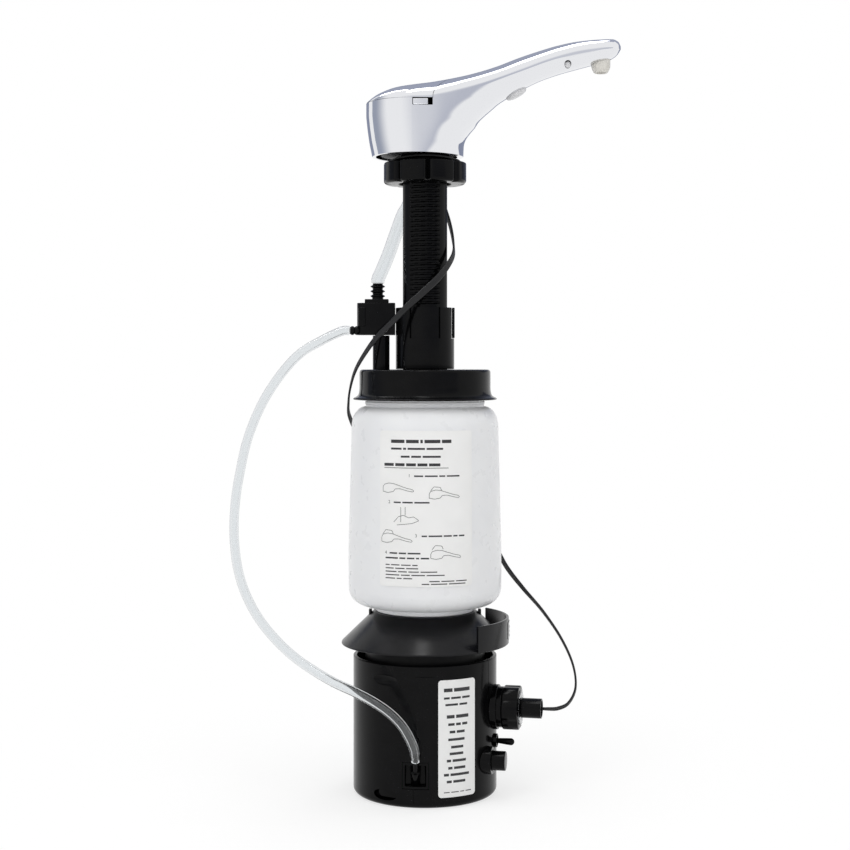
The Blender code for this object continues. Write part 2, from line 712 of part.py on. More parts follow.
def make_module(finishes):
    """Outer sleeve of the module, its foot plate with screws, and the details cut in its wall."""
    inside = module_radius - module_wall
    ledge_low = base_plate_thick + gap
    ledge_high = ledge_low + ledge_thick
    rim_inner = module_radius - module_foot_round - foot_rim
    foot = arc(
        (module_radius - module_foot_round, module_foot_round), module_foot_round, 0, -math.pi / 2, 4)
    profile = [(module_radius, module_height), *foot, (rim_inner, 0), (rim_inner, ledge_low),
               (ledge_inner_radius, ledge_low), (ledge_inner_radius, ledge_high),
               (inside, ledge_high), (inside, shelf_height), (inside - shelf_width, shelf_height),
               (inside - shelf_width, shelf_height + shelf_thick), (inside, shelf_height + shelf_thick),
               (inside, module_height)]
    sleeve = turned("module_sleeve", profile, fine_sides, finishes["black"])

    window_left = hose_plate_centre - hose_plate_size / 2
    window = block(
        "hose_window", (window_left, -module_radius - overrun, hose_plate_low),
        (window_left + hose_plate_size, -hose_plate_back, hose_plate_low + hose_plate_size),
        finishes["black"])
    holes = [window]
    for name, side, height, radius in (
            ("socket_hole", 0.0, plug_height, socket_body_radius + gap),
            ("toggle_hole", toggle_side, toggle_height, toggle_bush_radius + gap),
            ("button_hole", button_side, button_height, button_body_radius + gap)):
        frame = outward_frame(panel_turn, side, height)
        holes.append(cylinder(
            name, radius, button_back - overrun, module_radius + overrun, small_sides * 2,
            finishes["black"], frame))
    for name, turn, low, high in (
            ("hose_seam", hose_seam_turn, module_foot_round, hose_plate_low + overrun),
            ("upper_seam", upper_seam_turn, plug_height + socket_body_radius, module_height + overrun)):
        frame = Matrix.Rotation(turn, 4, "Z")
        holes.append(block(
            name, (module_radius - groove_depth, -groove_width / 2, low),
            (module_radius + overrun, groove_width / 2, high), finishes["black"], frame))
    for name, height in (("dimple_high", dimple_upper), ("dimple_low", dimple_lower)):
        holes.append(make_dimple(name, height, finishes["black"]))
    holes.append(block(
        "release_slot", (-slot_length / 2, -module_radius - overrun, slot_level - slot_height / 2),
        (slot_length / 2, -module_radius + groove_depth, slot_level + slot_height / 2),
        finishes["black"]))
    cut(sleeve, *holes)

    head_seat = screw_head_thick + 2 * gap
    base = cylinder(
        "module_base", rim_inner - gap, 0, base_plate_thick, fine_sides, finishes["black"])
    for i in range(screw_count):
        turn = screw_turn + math.tau * i / screw_count
        frame = Matrix.Translation((screw_circle * math.cos(turn), screw_circle * math.sin(turn), 0))
        shank_top = head_seat + screw_length
        seat = [(0, -overrun), (screw_head_radius + gap, -overrun), (screw_head_radius + gap, head_seat),
                (screw_radius + gap, head_seat), (screw_radius + gap, shank_top + gap),
                (0, shank_top + gap)]
        screw = [(0, gap), (screw_head_radius, gap), (screw_head_radius, head_seat - gap),
                 (screw_radius, head_seat - gap), (screw_radius, shank_top), (0, shank_top)]
        seat_tool = turned(f"screw_seat_{i + 1}", seat, tiny_sides, finishes["black"], frame)
        cut(base, seat_tool)
        cut(sleeve, seat_tool)
        turned(f"base_screw_{i + 1}", screw, tiny_sides, finishes["steel"], frame)


def make_dimple(name, height, finish):
    """A lens shaped finger dimple: a ball stretched along the wall."""
    bm = bmesh.new()
    bmesh.ops.create_uvsphere(bm, u_segments=small_sides, v_segments=tiny_sides - 2, radius=1.0)
    size = Matrix.Diagonal((dimple_depth, dimple_half_length, dimple_half_height, 1.0))
    place = Matrix.Rotation(dimple_turn, 4, "Z") @ Matrix.Translation((module_radius, 0, height))
    bmesh.ops.transform(bm, matrix=place @ size, verts=bm.verts)
    return object_from(name, bm, finish)


def make_power(finishes):
    """Four large cells between two contact plates, and the control board behind them."""
    low_plate = base_plate_thick + gap + ledge_thick + gap
    cell_low = low_plate + contact_thick + gap
    cell_top = cell_low + cell_length
    cylinder(
        "contact_plate_lower", contact_radius, low_plate, low_plate + contact_thick, round_sides,
        finishes["steel"])
    upper = cylinder(
        "contact_plate_upper", contact_radius, cell_top + gap, cell_top + gap + contact_thick,
        round_sides, finishes["steel"])
    cut(upper, make_line_hole("contact_notch", cell_top, finishes["steel"]))
    can_top = cell_top - cell_nub_height
    outline = [(0, cell_low), (cell_radius - cell_edge, cell_low), (cell_radius, cell_low + cell_edge),
               (cell_radius, can_top - cell_edge), (cell_radius - cell_edge, can_top),
               (cell_nub_radius, can_top), (cell_nub_radius, cell_top), (0, cell_top)]
    reach = (2 * cell_radius + gap) / math.sqrt(2)
    for i in range(4):
        turn = cell_turn + math.tau * (i + 0.5) / 4
        frame = Matrix.Translation((reach * math.cos(turn), reach * math.sin(turn), 0))
        turned(f"battery_{i + 1}", outline, round_sides * 5 // 8, finishes["green"], frame)
    inside = module_radius - module_wall - gap
    face = contact_radius
    half = math.sqrt(inside ** 2 - (face + board_thick / 2) ** 2)
    block(
        "control_board", (face - board_thick / 2, -half, board_low),
        (face + board_thick / 2, half, board_low + board_height), finishes["board"],
        Matrix.Rotation(cell_turn + math.pi / 2, 4, "Z"))


def make_line_hole(name, height, finish):
    """Cutter for the inner soap line's way through a plate at a given height."""
    place = (inner_line_reach * math.cos(inner_line_turn), inner_line_reach * math.sin(inner_line_turn), 0)
    return cylinder(
        name, inner_line_radius + gap, height - overrun, height + cup_floor + 2 * overrun,
        small_sides, finish, Matrix.Translation(place))


def gear_outline(turn):
    """Outline of a small gear with straight sided teeth, the first tooth at the given angle."""
    pitch = math.tau / gear_teeth
    points = []
    for i in range(gear_teeth):
        middle = turn + pitch * i
        for radius, share in ((gear_root_radius, -gear_root_share), (gear_outer_radius, -gear_tip_share),
                              (gear_outer_radius, gear_tip_share), (gear_root_radius, gear_root_share)):
            angle = middle + pitch * share / 2
            points.append((radius * math.cos(angle), radius * math.sin(angle)))
    return points


def make_pump(finishes):
    """Cup in the module's neck with the motor and the gear pump that feeds the soap tube."""
    cup_low = shelf_height + shelf_thick + gap
    cup_inside = cup_low + cup_floor
    inner_radius = cup_wall_radius - cup_wall
    profile = [(0, cup_low), (cup_flange_radius, cup_low), (cup_flange_radius, cup_inside),
               (cup_wall_radius, cup_inside), (cup_wall_radius, cup_top), (inner_radius, cup_top),
               (inner_radius, cup_inside), (0, cup_inside)]
    cup = turned("pump_cup", profile, fine_sides, finishes["black"])
    cut(cup, make_line_hole("cup_notch", cup_low, finishes["black"]))

    drive_x, driven_x = -gear_spacing / 2, gear_spacing / 2
    motor_low = cup_inside + gap
    motor_top = motor_low + motor_length
    boss_top = motor_top + motor_boss_height
    body_low = boss_top + gap
    chamber_low = body_low + pump_floor
    gear_low = chamber_low + gap
    body_top = gear_low + gear_thick + gap
    shaft_low = motor_top - gear_shaft_dip
    motor = turned(
        "pump_motor",
        [(0, motor_low), (motor_radius, motor_low), (motor_radius, motor_top),
         (motor_boss_radius, motor_top), (motor_boss_radius, boss_top),
         (gear_shaft_radius + gap, boss_top), (gear_shaft_radius + gap, shaft_low - gap),
         (0, shaft_low - gap)],
        round_sides * 5 // 8, finishes["steel"], Matrix.Translation((drive_x, pump_line, 0)))

    clear_radius = gear_outer_radius + gap
    left, right = drive_x - clear_radius - pump_wall, driven_x + clear_radius + pump_wall
    near = pump_line - clear_radius - pump_wall
    far = max(pump_line + clear_radius + pump_wall, pump_spigot_radius)
    body = block("pump_body", (left, near, body_low), (right, far, body_top), finishes["grey"])
    tools = []
    for name, x in (("drive_chamber", drive_x), ("driven_chamber", driven_x)):
        frame = Matrix.Translation((x, pump_line, 0))
        tools.append(cylinder(
            name, clear_radius, chamber_low, body_top + overrun, round_sides, finishes["grey"], frame))
    tools.append(cylinder(
        "drive_shaft_hole", gear_shaft_radius + gap, body_low - overrun, chamber_low + overrun,
        tiny_sides, finishes["grey"], Matrix.Translation((drive_x, pump_line, 0))))
    tools.append(cylinder(
        "driven_shaft_hole", gear_shaft_radius + gap, chamber_low - gear_shaft_radius,
        chamber_low + overrun, tiny_sides, finishes["grey"],
        Matrix.Translation((driven_x, pump_line, 0))))
    tools.append(block(
        "intake_pocket", (-pump_pocket_half, pump_line, chamber_low),
        (pump_pocket_half, pump_port_radius, body_top + overrun), finishes["grey"]))
    barb_height = (chamber_low + body_top) / 2 - gap
    along_y = Matrix.Translation((0, 0, barb_height)) @ Matrix.Rotation(math.pi / 2, 4, "X")
    barb = cylinder(
        "outlet_barb", pump_barb_radius, -near - overrun, -near + pump_barb_length, tiny_sides,
        finishes["grey"], along_y)
    join(body, barb)
    tools.append(cylinder(
        "outlet_bore", barb_bore, -pump_line + pump_pocket_half, -near + pump_barb_length + overrun,
        tiny_sides, finishes["grey"], along_y))
    cut(body, *tools)

    cover_low = body_top + gap
    cover_top = cover_low + pump_cover_thick
    cover = block("pump_cover", (left, near, cover_low), (right, far, cover_top), finishes["grey"])
    join(cover, cylinder(
        "inlet_spigot", pump_spigot_radius, cover_low + pump_cover_thick / 2,
        cover_top + pump_spigot_height, round_sides * 5 // 8, finishes["grey"]))
    cut(cover, cylinder(
        "inlet_bore", pump_port_radius, cover_low - overrun, cover_top + pump_spigot_height + overrun,
        small_sides, finishes["grey"]))

    half_tooth = math.pi / gear_teeth
    for name, x, turn, low in (
            ("drive_gear", drive_x, 0.0, shaft_low),
            ("driven_gear", driven_x, math.pi + half_tooth, chamber_low - gear_shaft_radius + gap)):
        frame = Matrix.Translation((x, pump_line, 0))
        gear = prism(name, gear_outline(turn), gear_low, gear_low + gear_thick, finishes["grey"], frame)
        join(gear, cylinder(
            f"{name}_shaft", gear_shaft_radius, low, gear_low + gear_thick / 2, tiny_sides,
            finishes["steel"], frame))
        put_origin(gear, (x, pump_line, gear_low))
    tube("soap_line", inner_line_route, inner_line_radius, 2, finishes["clear"])


def cone_outside(radius):
    """Height of the cone's outer face at a radius."""
    slope = (cone_top_height - cone_rim_height) / (cone_rim_radius - cone_top_radius)
    return cone_top_height - slope * (radius - cone_top_radius)


def make_cone(finishes):
    """Drip cone under the bottle, with the upright guard wall round its right side."""
    rim_low = cone_rim_height - cone_rim_drop
    ring_outer = cup_wall_radius + gap / 2
    ring_inner = cup_wall_radius - cup_wall - gap / 2
    top_under = cone_top_height - cone_wall
    hole = outlet_radius + slack
    profile = [(cone_rim_radius, cone_rim_height), (cone_rim_radius, rim_low),
               (cone_rim_radius - cone_rim_width, rim_low),
               (ring_outer, cone_outside(ring_outer) - cone_wall), (ring_outer, cup_top + gap),
               (ring_inner, cup_top + gap), (ring_inner, cone_outside(ring_inner) - cone_wall),
               (cone_top_radius - cone_rim_drop, top_under), (hole, top_under),
               (hole, cone_top_height), (cone_top_radius, cone_top_height)]
    cone = turned("drip_cone", profile, fine_sides, finishes["black"])
    outline = sector(
        cone_rim_radius + gap - guard_thick, cone_rim_radius + gap, guard_start, guard_end, 14)
    join(cone, prism("guard_wall", outline, rim_low + gap, guard_top, finishes["black"]))
    for name, direction in (("hook_right", 1), ("hook_left", -1)):
        near = bottle_foot_radius + hook_thick
        far = near + hook_thick
        join(cone, block(
            name, (min(direction * near, direction * far), -hook_width / 2, cone_outside(far) - cone_wall / 2),
            (max(direction * near, direction * far), hook_width / 2, cone_top_height + hook_rise),
            finishes["black"]))


def make_guard_label(finishes):
    shell_patch(
        "guard_label", lambda height: cone_rim_radius + 2 * gap, label_thick, -guard_label_turn,
        guard_label_turn, guard_label_low, guard_label_high, 6, 1, finishes["label"])


def bottle_radius(height):
    """Outer radius of the bottle's straight wall, which leans in a little towards the top."""
    share = (height - bottle_widest) / (bottle_shoulder_low - bottle_widest)
    return bottle_low_radius + (bottle_high_radius - bottle_low_radius) * min(max(share, 0.0), 1.0)


def bottle_side(inset, floor):
    """One side of the bottle from its floor up to its mouth, drawn in by the wall for the inside."""
    low = bottle_low_radius - inset
    corner = bottle_corner - inset
    high = bottle_high_radius - inset
    neck = bottle_neck_radius - inset
    shoulder = bottle_shoulder_low + (math.pi / 2 - 1) * inset
    base = arc((low - corner, floor + corner), corner, -math.pi / 2, 0, 3)
    rise = bottle_shoulder_high - bottle_shoulder_low
    top = [(neck + (high - neck) * math.cos(math.pi / 2 * i / 4),
            shoulder + (rise - inset / 2) * math.sin(math.pi / 2 * i / 4)) for i in range(5)]
    return base + [(low, bottle_widest)] + top + [(neck, bottle_mouth)]


def make_bottle(finishes):
    """Wide mouth bottle, its label, and the outlet that joins it to the pump."""
    under = cone_top_height + gap + bottle_foot_rise
    floor = under + bottle_floor
    outer = bottle_side(0.0, under)
    inner = bottle_side(bottle_wall, floor)
    hole = outlet_radius + gap
    foot = [(hole, under), (bottle_foot_radius - bottle_foot_width, under),
            (bottle_foot_radius - bottle_foot_width, cone_top_height + gap),
            (bottle_foot_radius, cone_top_height + gap), (bottle_foot_radius + gap, under)]
    turned("bottle", foot + outer + inner[::-1] + [(hole, floor)], round_sides, finishes["bottle"])
    shell_patch(
        "bottle_label", lambda height: bottle_radius(height) + gap, label_thick, bottle_label_start,
        bottle_label_end, bottle_label_low, bottle_label_high, 10, 3, finishes["label"])

    flange_low = floor + gap
    flange_top = flange_low + outlet_flange_thick
    low = under - bottle_foot_rise - gap - outlet_drop
    socket_top_height = low + outlet_socket_depth
    socket_bore = pump_spigot_radius + gap
    turned(
        "outlet_fitting",
        [(outlet_radius, low), (outlet_radius, flange_low), (outlet_flange_radius, flange_low),
         (outlet_flange_radius, flange_top), (outlet_bore, flange_top),
         (outlet_bore, socket_top_height), (socket_bore, socket_top_height), (socket_bore, low)],
        round_sides * 5 // 8, finishes["grey"])
    seal_inner = outlet_radius + gap
    seal_outer = seal_inner + outlet_seal_width
    seal_low, seal_high = cone_top_height + gap, under - gap
    bulge = outlet_seal_width / 4
    turned(
        "outlet_seal",
        [(seal_inner, seal_low), (seal_outer - bulge, seal_low), (seal_outer, seal_low + bulge),
         (seal_outer, seal_high - bulge), (seal_outer - bulge, seal_high), (seal_inner, seal_high)],
        round_sides * 5 // 8, finishes["rubber"])


def make_cap(finishes):
    """Screw cap with its flared rim, and the seal under it."""
    inside = bottle_neck_radius + cap_play
    under = cap_top - cap_top_thick
    hole = shank_crest_radius + cap_play
    flare = cap_low + cap_flange_height
    profile = [(cap_flange_radius, cap_low), (inside, cap_low), (inside, under), (hole, under),
               (hole, cap_top), (cap_radius - cap_edge, cap_top),
               (cap_radius - cap_edge / 4, cap_top - cap_edge / 4), (cap_radius, cap_top - cap_edge),
               (cap_radius, flare + cap_flare_height),
               (cap_radius + cap_flange_height / 2, flare + cap_flare_height / 3),
               (cap_flange_radius, flare)]
    cap = turned("bottle_cap", profile, round_sides, finishes["black"])
    cut(cap, cylinder(
        "riser_hole", riser_radius + gap, under - overrun, cap_top + overrun, small_sides,
        finishes["black"], Matrix.Translation((riser_x, 0, 0))))
    seal_low = bottle_mouth + gap
    turned(
        "cap_seal",
        [(bottle_neck_radius - bottle_wall, seal_low), (inside - gap, seal_low),
         (inside - gap, seal_low + seal_thick), (bottle_neck_radius - bottle_wall, seal_low + seal_thick)],
        round_sides, finishes["rubber"])


def thread_ridge(name, root, crest, sunk, start, sweep, low, steps, finish):
    """One ridge of a screw thread, swept along its helix as a closed piece.

    The ridge stands from the root radius to the crest radius and dips into its carrier.
    """
    base, tip = thread_pitch * thread_base_share / 2, thread_pitch * thread_tip_share / 2
    lean = (base - tip) * sunk / abs(crest - root)
    foot = root - math.copysign(sunk, crest - root)
    rings = []
    for i in range(steps + 1):
        turn = start + sweep * i / steps
        middle = low + thread_pitch * (turn - start) / math.tau
        across = Vector((math.cos(turn), math.sin(turn), 0))
        corners = ((foot, -base - lean), (crest, -tip), (crest, tip), (foot, base + lean))
        rings.append([across * radius + Vector((0, 0, middle + rise)) for radius, rise in corners])
    return loft(name, rings, finish)


def make_shank(finishes):
    """Half round threaded shank, through which the bottle is filled."""
    back = shank_back
    top = deck_height + plate_rise + plate_thick + gap
    shank = prism(
        "fill_shank", d_outline(shank_root_radius, shank_half_width, back), shank_low, top + overrun,
        finishes["black"])
    start = -math.pi / 2 - thread_half_turn
    count = int((thread_high - thread_low) / thread_pitch)
    for i in range(count):
        low = thread_low + thread_pitch * i
        join(shank, thread_ridge(
            f"shank_ridge_{i + 1}", shank_root_radius, shank_crest_radius, nut_thread_sunk, start,
            2 * thread_half_turn, low, 3, finishes["black"]))
    collar_width = shank_half_width + shank_collar_radius - shank_crest_radius
    join(shank, prism(
        "shank_collar", d_outline(shank_collar_radius, collar_width, back), shank_collar_low,
        deck_height + plate_rise - gap, finishes["black"]))
    join(shank, prism(
        "shank_flange", d_outline(shank_flange_radius, shank_flange_half_width, back), top,
        top + shank_flange_thick, finishes["black"]))
    bore = d_outline(
        shank_root_radius - shank_wall, shank_half_width - shank_wall, back - shank_wall)
    cut(shank, prism(
        "shank_bore", bore, shank_low - overrun, top + shank_flange_thick + overrun, finishes["black"]))


def make_socket(finishes):
    """Socket on the cap that takes the shank, with its release tab at the right."""
    low = cap_top + gap
    socket = cylinder("cap_socket", socket_radius, low, socket_top, fine_sides, finishes["black"])
    fit = d_outline(shank_crest_radius + gap, shank_half_width + gap, shank_back + gap)
    window = sector(
        socket_radius - socket_window_depth, socket_radius + overrun,
        -math.pi / 2 - socket_window_turn, -math.pi / 2 + socket_window_turn, 8)
    cut(socket,
        prism("shank_fit", fit, low - overrun, socket_top + overrun, finishes["black"]),
        prism("socket_window", window, socket_step, socket_top + overrun, finishes["black"]),
        block(
            "tab_seat", (tab_seat, -socket_radius, socket_step),
            (socket_radius + overrun, socket_radius, socket_top + overrun), finishes["black"]))
    tab_low = socket_step + gap
    tab_near = tab_seat + gap
    tab = block(
        "lock_tab", (tab_near, -tab_half_width, tab_low),
        (tab_near + tab_thick, tab_half_width, socket_top), finishes["black"])
    put_origin(tab, (tab_near + tab_thick / 2, 0, tab_low + gap))


def make_nut(finishes):
    """Lobed deck nut with its inner thread, and the wavy rubber gasket lying on it."""
    count = nut_lobes * nut_lobe_points

    def ring(height, radii):
        turns = [nut_groove_turn + math.tau * i / count for i in range(count)]
        return [(radius * math.cos(turn), radius * math.sin(turn), height)
                for radius, turn in zip(radii, turns)]

    def lobed(height, shrink):
        waves = [abs(math.sin(math.pi * i / nut_lobe_points)) ** nut_lobe_fullness for i in range(count)]
        rise = nut_lobe_radius - nut_valley_radius
        return ring(height, [nut_valley_radius + rise * wave - shrink for wave in waves])

    levels = ((nut_low, nut_foot_chamfer), (nut_low + nut_foot_chamfer / 2, nut_foot_chamfer / 4),
              (nut_low + nut_foot_chamfer, 0.0), (nut_high - nut_head_chamfer, 0.0),
              (nut_high, nut_head_chamfer))
    rings = [lobed(height, shrink) for height, shrink in levels]
    rings.append(ring(nut_high, [nut_bore] * count))
    rings.append(ring(nut_low, [nut_bore] * count))
    nut = loft("deck_nut", rings, finishes["black"], closed=True)

    start = -math.pi / 2
    turns_room = nut_thread_turns * thread_pitch
    margin = (nut_high - nut_low - turns_room) / 2
    ridge_count = math.floor((nut_low + margin - thread_low) / thread_pitch)
    low = thread_low + (ridge_count + 0.5) * thread_pitch + thread_pitch * thread_half_turn / math.tau
    join(nut, thread_ridge(
        "nut_ridge", nut_bore, nut_bore - nut_thread_depth, nut_thread_sunk, start,
        math.tau * nut_thread_turns, low, int(nut_thread_steps * nut_thread_turns), finishes["black"]))
    put_origin(nut, (0, 0, nut_low))

    seat = nut_high + gap + gasket_wave
    rings = []
    for radius, rise in ((gasket_inner_radius, 0.0), (gasket_radius, 0.0),
                         (gasket_radius, gasket_thick), (gasket_inner_radius, gasket_thick)):
        share = radius / gasket_radius
        rings.append([
            (radius * math.cos(math.tau * i / round_sides), radius * math.sin(math.tau * i / round_sides),
             seat + rise - gasket_wave * share * math.cos(2 * math.tau * i / round_sides))
            for i in range(round_sides)])
    gasket = loft("deck_gasket", rings, finishes["rubber"], closed=True)
    put_origin(gasket, (0, 0, nut_high))


def spout_x(share):
    return spout_length * share - tail_reach


def spout_height(table, x):
    """Height of one of the side outline's lines above a place along the spout."""
    return deck_height + spout_rise * float(smooth_line(table, (x + tail_reach) / spout_length))


def right_edge(height):
    """How far out the underside of the arm is at a height."""
    table = [(rise, share) for share, rise in under_line_shares]
    return spout_x(float(smooth_line(table, (height - deck_height) / spout_rise)))


def left_edge(height):
    """How far back the tail is at a height. It leans back towards the seam."""
    share = (height - deck_height) / (seam_height - deck_height)
    return tail_lean * float(smooth_line(tail_lean_shares, share)) - tail_reach


def plan_width(x):
    """Half width of the spout at its widest, seen from above, past the middle of the boss."""
    return boss_top_radius * float(smooth_line(arm_width_shares, (x + tail_reach) / spout_length))


def side_width(x, height, crest, inset=0.0):
    """Half width of the side wall at a place and a height at or below its crest.

    Each level is a circle round the boss behind its middle. In front of it the level is an egg
    that ends at the arm's underside, and gets blunter with height. An inset draws it in all round.
    """
    share = min(max((height - deck_height) / (seam_height - deck_height), 0.0), 1.0)
    middle = boss_foot_centre + (boss_top_centre - boss_foot_centre) * share
    widest = boss_foot_radius + (boss_top_radius - boss_foot_radius) * share
    if x < middle:
        across = (middle - x) / (middle - left_edge(height) - inset)
        return max(widest - inset, gap) * math.sqrt(max(1 - across ** 2, 0.0))
    power = arm_root_roundness + (arm_side_roundness - arm_root_roundness) * share
    nose = x + inset * hollow_nose_share - middle
    here = min(nose / (right_edge(height) - middle), 1.0)
    there = min(nose / (right_edge(crest) - middle), 1.0)
    fullness = math.sqrt(max(1 - here ** power, 0.0) / max(1 - there ** arm_side_roundness, 0.01))
    width = plan_width(x) * widest / boss_top_radius
    return max(width - inset, gap) * min(fullness, 1.0)


def tail_bottom(x):
    """Height at which the leaning tail passes a place behind the boss's foot."""
    low, high = deck_height, seam_height
    for _ in range(30):
        middle = (low + high) / 2
        if left_edge(middle) > x:
            low = middle
        else:
            high = middle
    return high


def spout_section(x, inset, steps, crown):
    """Ring of points across the spout at one place, drawn in by the wall for the inside."""
    crest = max(spout_height(edge_line_shares, x), deck_height)
    top = spout_height(top_line_shares, x)
    nose = x + inset * hollow_nose_share
    if nose > spout_x(under_line_shares[0][0]):
        low = spout_height(under_line_shares, nose) + inset / 2
    elif x - inset < left_edge(deck_height):
        low = tail_bottom(x - inset)
    else:
        low = deck_height - overrun if inset else deck_height
    widest = side_width(x, crest, crest, inset)
    half = []
    for k in range(steps + 1):
        level = low + (crest - low) * (1 - math.cos(math.pi / 2 * k / steps))
        half.append((side_width(x, level, crest, inset), level))
    for j in range(1, crown + 1):
        angle = math.pi / 2 * j / crown
        half.append((widest * math.cos(angle) ** (2 / crown_roundness),
                     crest + (top - inset - crest) * math.sin(angle) ** (2 / crown_roundness)))
    half[-1] = (0.0, top - inset)
    ring = [(x, width, height) for width, height in half]
    ring += [(x, -width, height) for width, height in reversed(half[:-1])]
    return ring


def spout_stations(inset, shares):
    """Places along the spout for its rings, close together round the tail."""
    reach = tail_reach + boss_top_centre - inset
    tail = [boss_top_centre - reach * math.cos(math.pi / 2 * (i + 0.15) / tail_steps)
            for i in range(tail_steps)]
    return tail + [spout_x(share) for share in shares]


def lid_outline(shrink):
    """Plan of the lid's cut: an arc across the arm's root, open to the back."""
    radius = lid_arc_radius - shrink
    centre = lid_front - lid_arc_radius
    limit = math.radians(80.0)
    front = arc((centre, 0), radius, -limit, limit, 16)
    back = -tail_reach - boss_top_radius
    return front + [(back, boss_top_radius * 1.5), (back, -boss_top_radius * 1.5)]


def make_spout(finishes):
    """Chromed spout shell and its fill lid, cut from one outer form and one hollow."""
    chrome = finishes["chrome"]

    def outer_form(name):
        rings = [spout_section(x, 0.0, side_steps, crown_steps)
                 for x in spout_stations(0.0, arm_station_shares)]
        return loft(name, rings, chrome)

    hollow = loft("spout_hollow", [
        spout_section(x, spout_wall, side_steps - 2, crown_steps - 2)
        for x in spout_stations(spout_wall, cavity_station_shares)], chrome)
    pin_frame = Matrix.Translation((lid_pin_x, lid_pin_y, 0))
    cut(hollow, cylinder(
        "hub_column", lid_hub_radius, lid_hub_low, deck_height + spout_rise, small_sides, chrome,
        pin_frame))

    above = deck_height + spout_rise + overrun
    pin_hole = cylinder(
        "lid_pin_hole", lid_pin_radius + gap, lid_pin_low - gap, lid_pin_high + gap, small_sides,
        chrome, pin_frame)
    shell = outer_form("spout_shell")
    lens_at = lens_frame()
    light_at = light_frame()
    notch = block(
        "latch_notch", (notch_left, -boss_top_radius - overrun, seam_height - notch_depth),
        (notch_right, -boss_top_radius + spout_wall * 2, seam_height + overrun), chrome)
    nozzle_low = nozzle_mouth()
    nozzle_hole = cylinder(
        "nozzle_hole", nozzle_radius + gap, nozzle_low, nozzle_low + nozzle_length, small_sides * 2, chrome,
        Matrix.Translation((nozzle_x, 0, 0)))
    lens_hole = prism(
        "lens_hole", oval(lens_half_length + gap, lens_half_width + gap), -lens_depth - overrun,
        lens_proud + overrun, chrome, lens_at)
    light_hole = cylinder(
        "light_hole", light_radius + gap, -light_length - overrun, light_length, small_sides, chrome,
        light_at)
    cut(shell, hollow,
        prism("lid_space", lid_outline(0.0), seam_height, above, chrome),
        pin_hole, notch, nozzle_hole, lens_hole, light_hole)

    lid = outer_form("fill_lid")
    combine(lid, prism("lid_form", lid_outline(gap), seam_height + gap, above, chrome), "INTERSECT")
    cut(lid, hollow, pin_hole)
    put_origin(lid, (lid_pin_x, lid_pin_y, seam_height))

    cylinder("lid_pin", lid_pin_radius, lid_pin_low, lid_pin_high, small_sides, finishes["steel"], pin_frame)
    latch_front = -boss_top_radius + latch_inset
    latch = block(
        "lid_latch", (notch_left + gap, latch_front, seam_height - notch_depth + gap),
        (notch_right - keyhole_width, latch_front + latch_thick, seam_height - gap), chrome)
    put_origin(latch, (notch_left + gap, latch_front, seam_height - notch_depth + gap))


def oval(half_length, half_width):
    return [(half_length * math.cos(math.tau * i / 24), half_width * math.sin(math.tau * i / 24))
            for i in range(24)]


def lens_frame():
    """Frame of the sensor lens: local Z points down and out from the arm's underside."""
    along = Vector((math.cos(lens_tilt), 0, math.sin(lens_tilt)))
    out = Vector((math.sin(lens_tilt), 0, -math.cos(lens_tilt)))
    across = out.cross(along)
    height = spout_height(under_line_shares, lens_x)
    rows = Matrix((along, across, out)).transposed().to_4x4()
    return Matrix.Translation((lens_x, 0, height)) @ rows


def nozzle_mouth():
    """Height of the nozzle's mouth, which hangs below the arm's underside."""
    return spout_height(under_line_shares, nozzle_x) - nozzle_drop


def light_frame():
    """Frame of the indicator light: local Z points to the front, out of the arm's side."""
    crest = spout_height(edge_line_shares, light_x)
    under = spout_height(under_line_shares, light_x)
    light_height = under + light_share * (crest - under)
    face = side_width(light_x, light_height, crest)
    return Matrix.Translation((light_x, -face, light_height)) @ Matrix.Rotation(math.pi / 2, 4, "X")


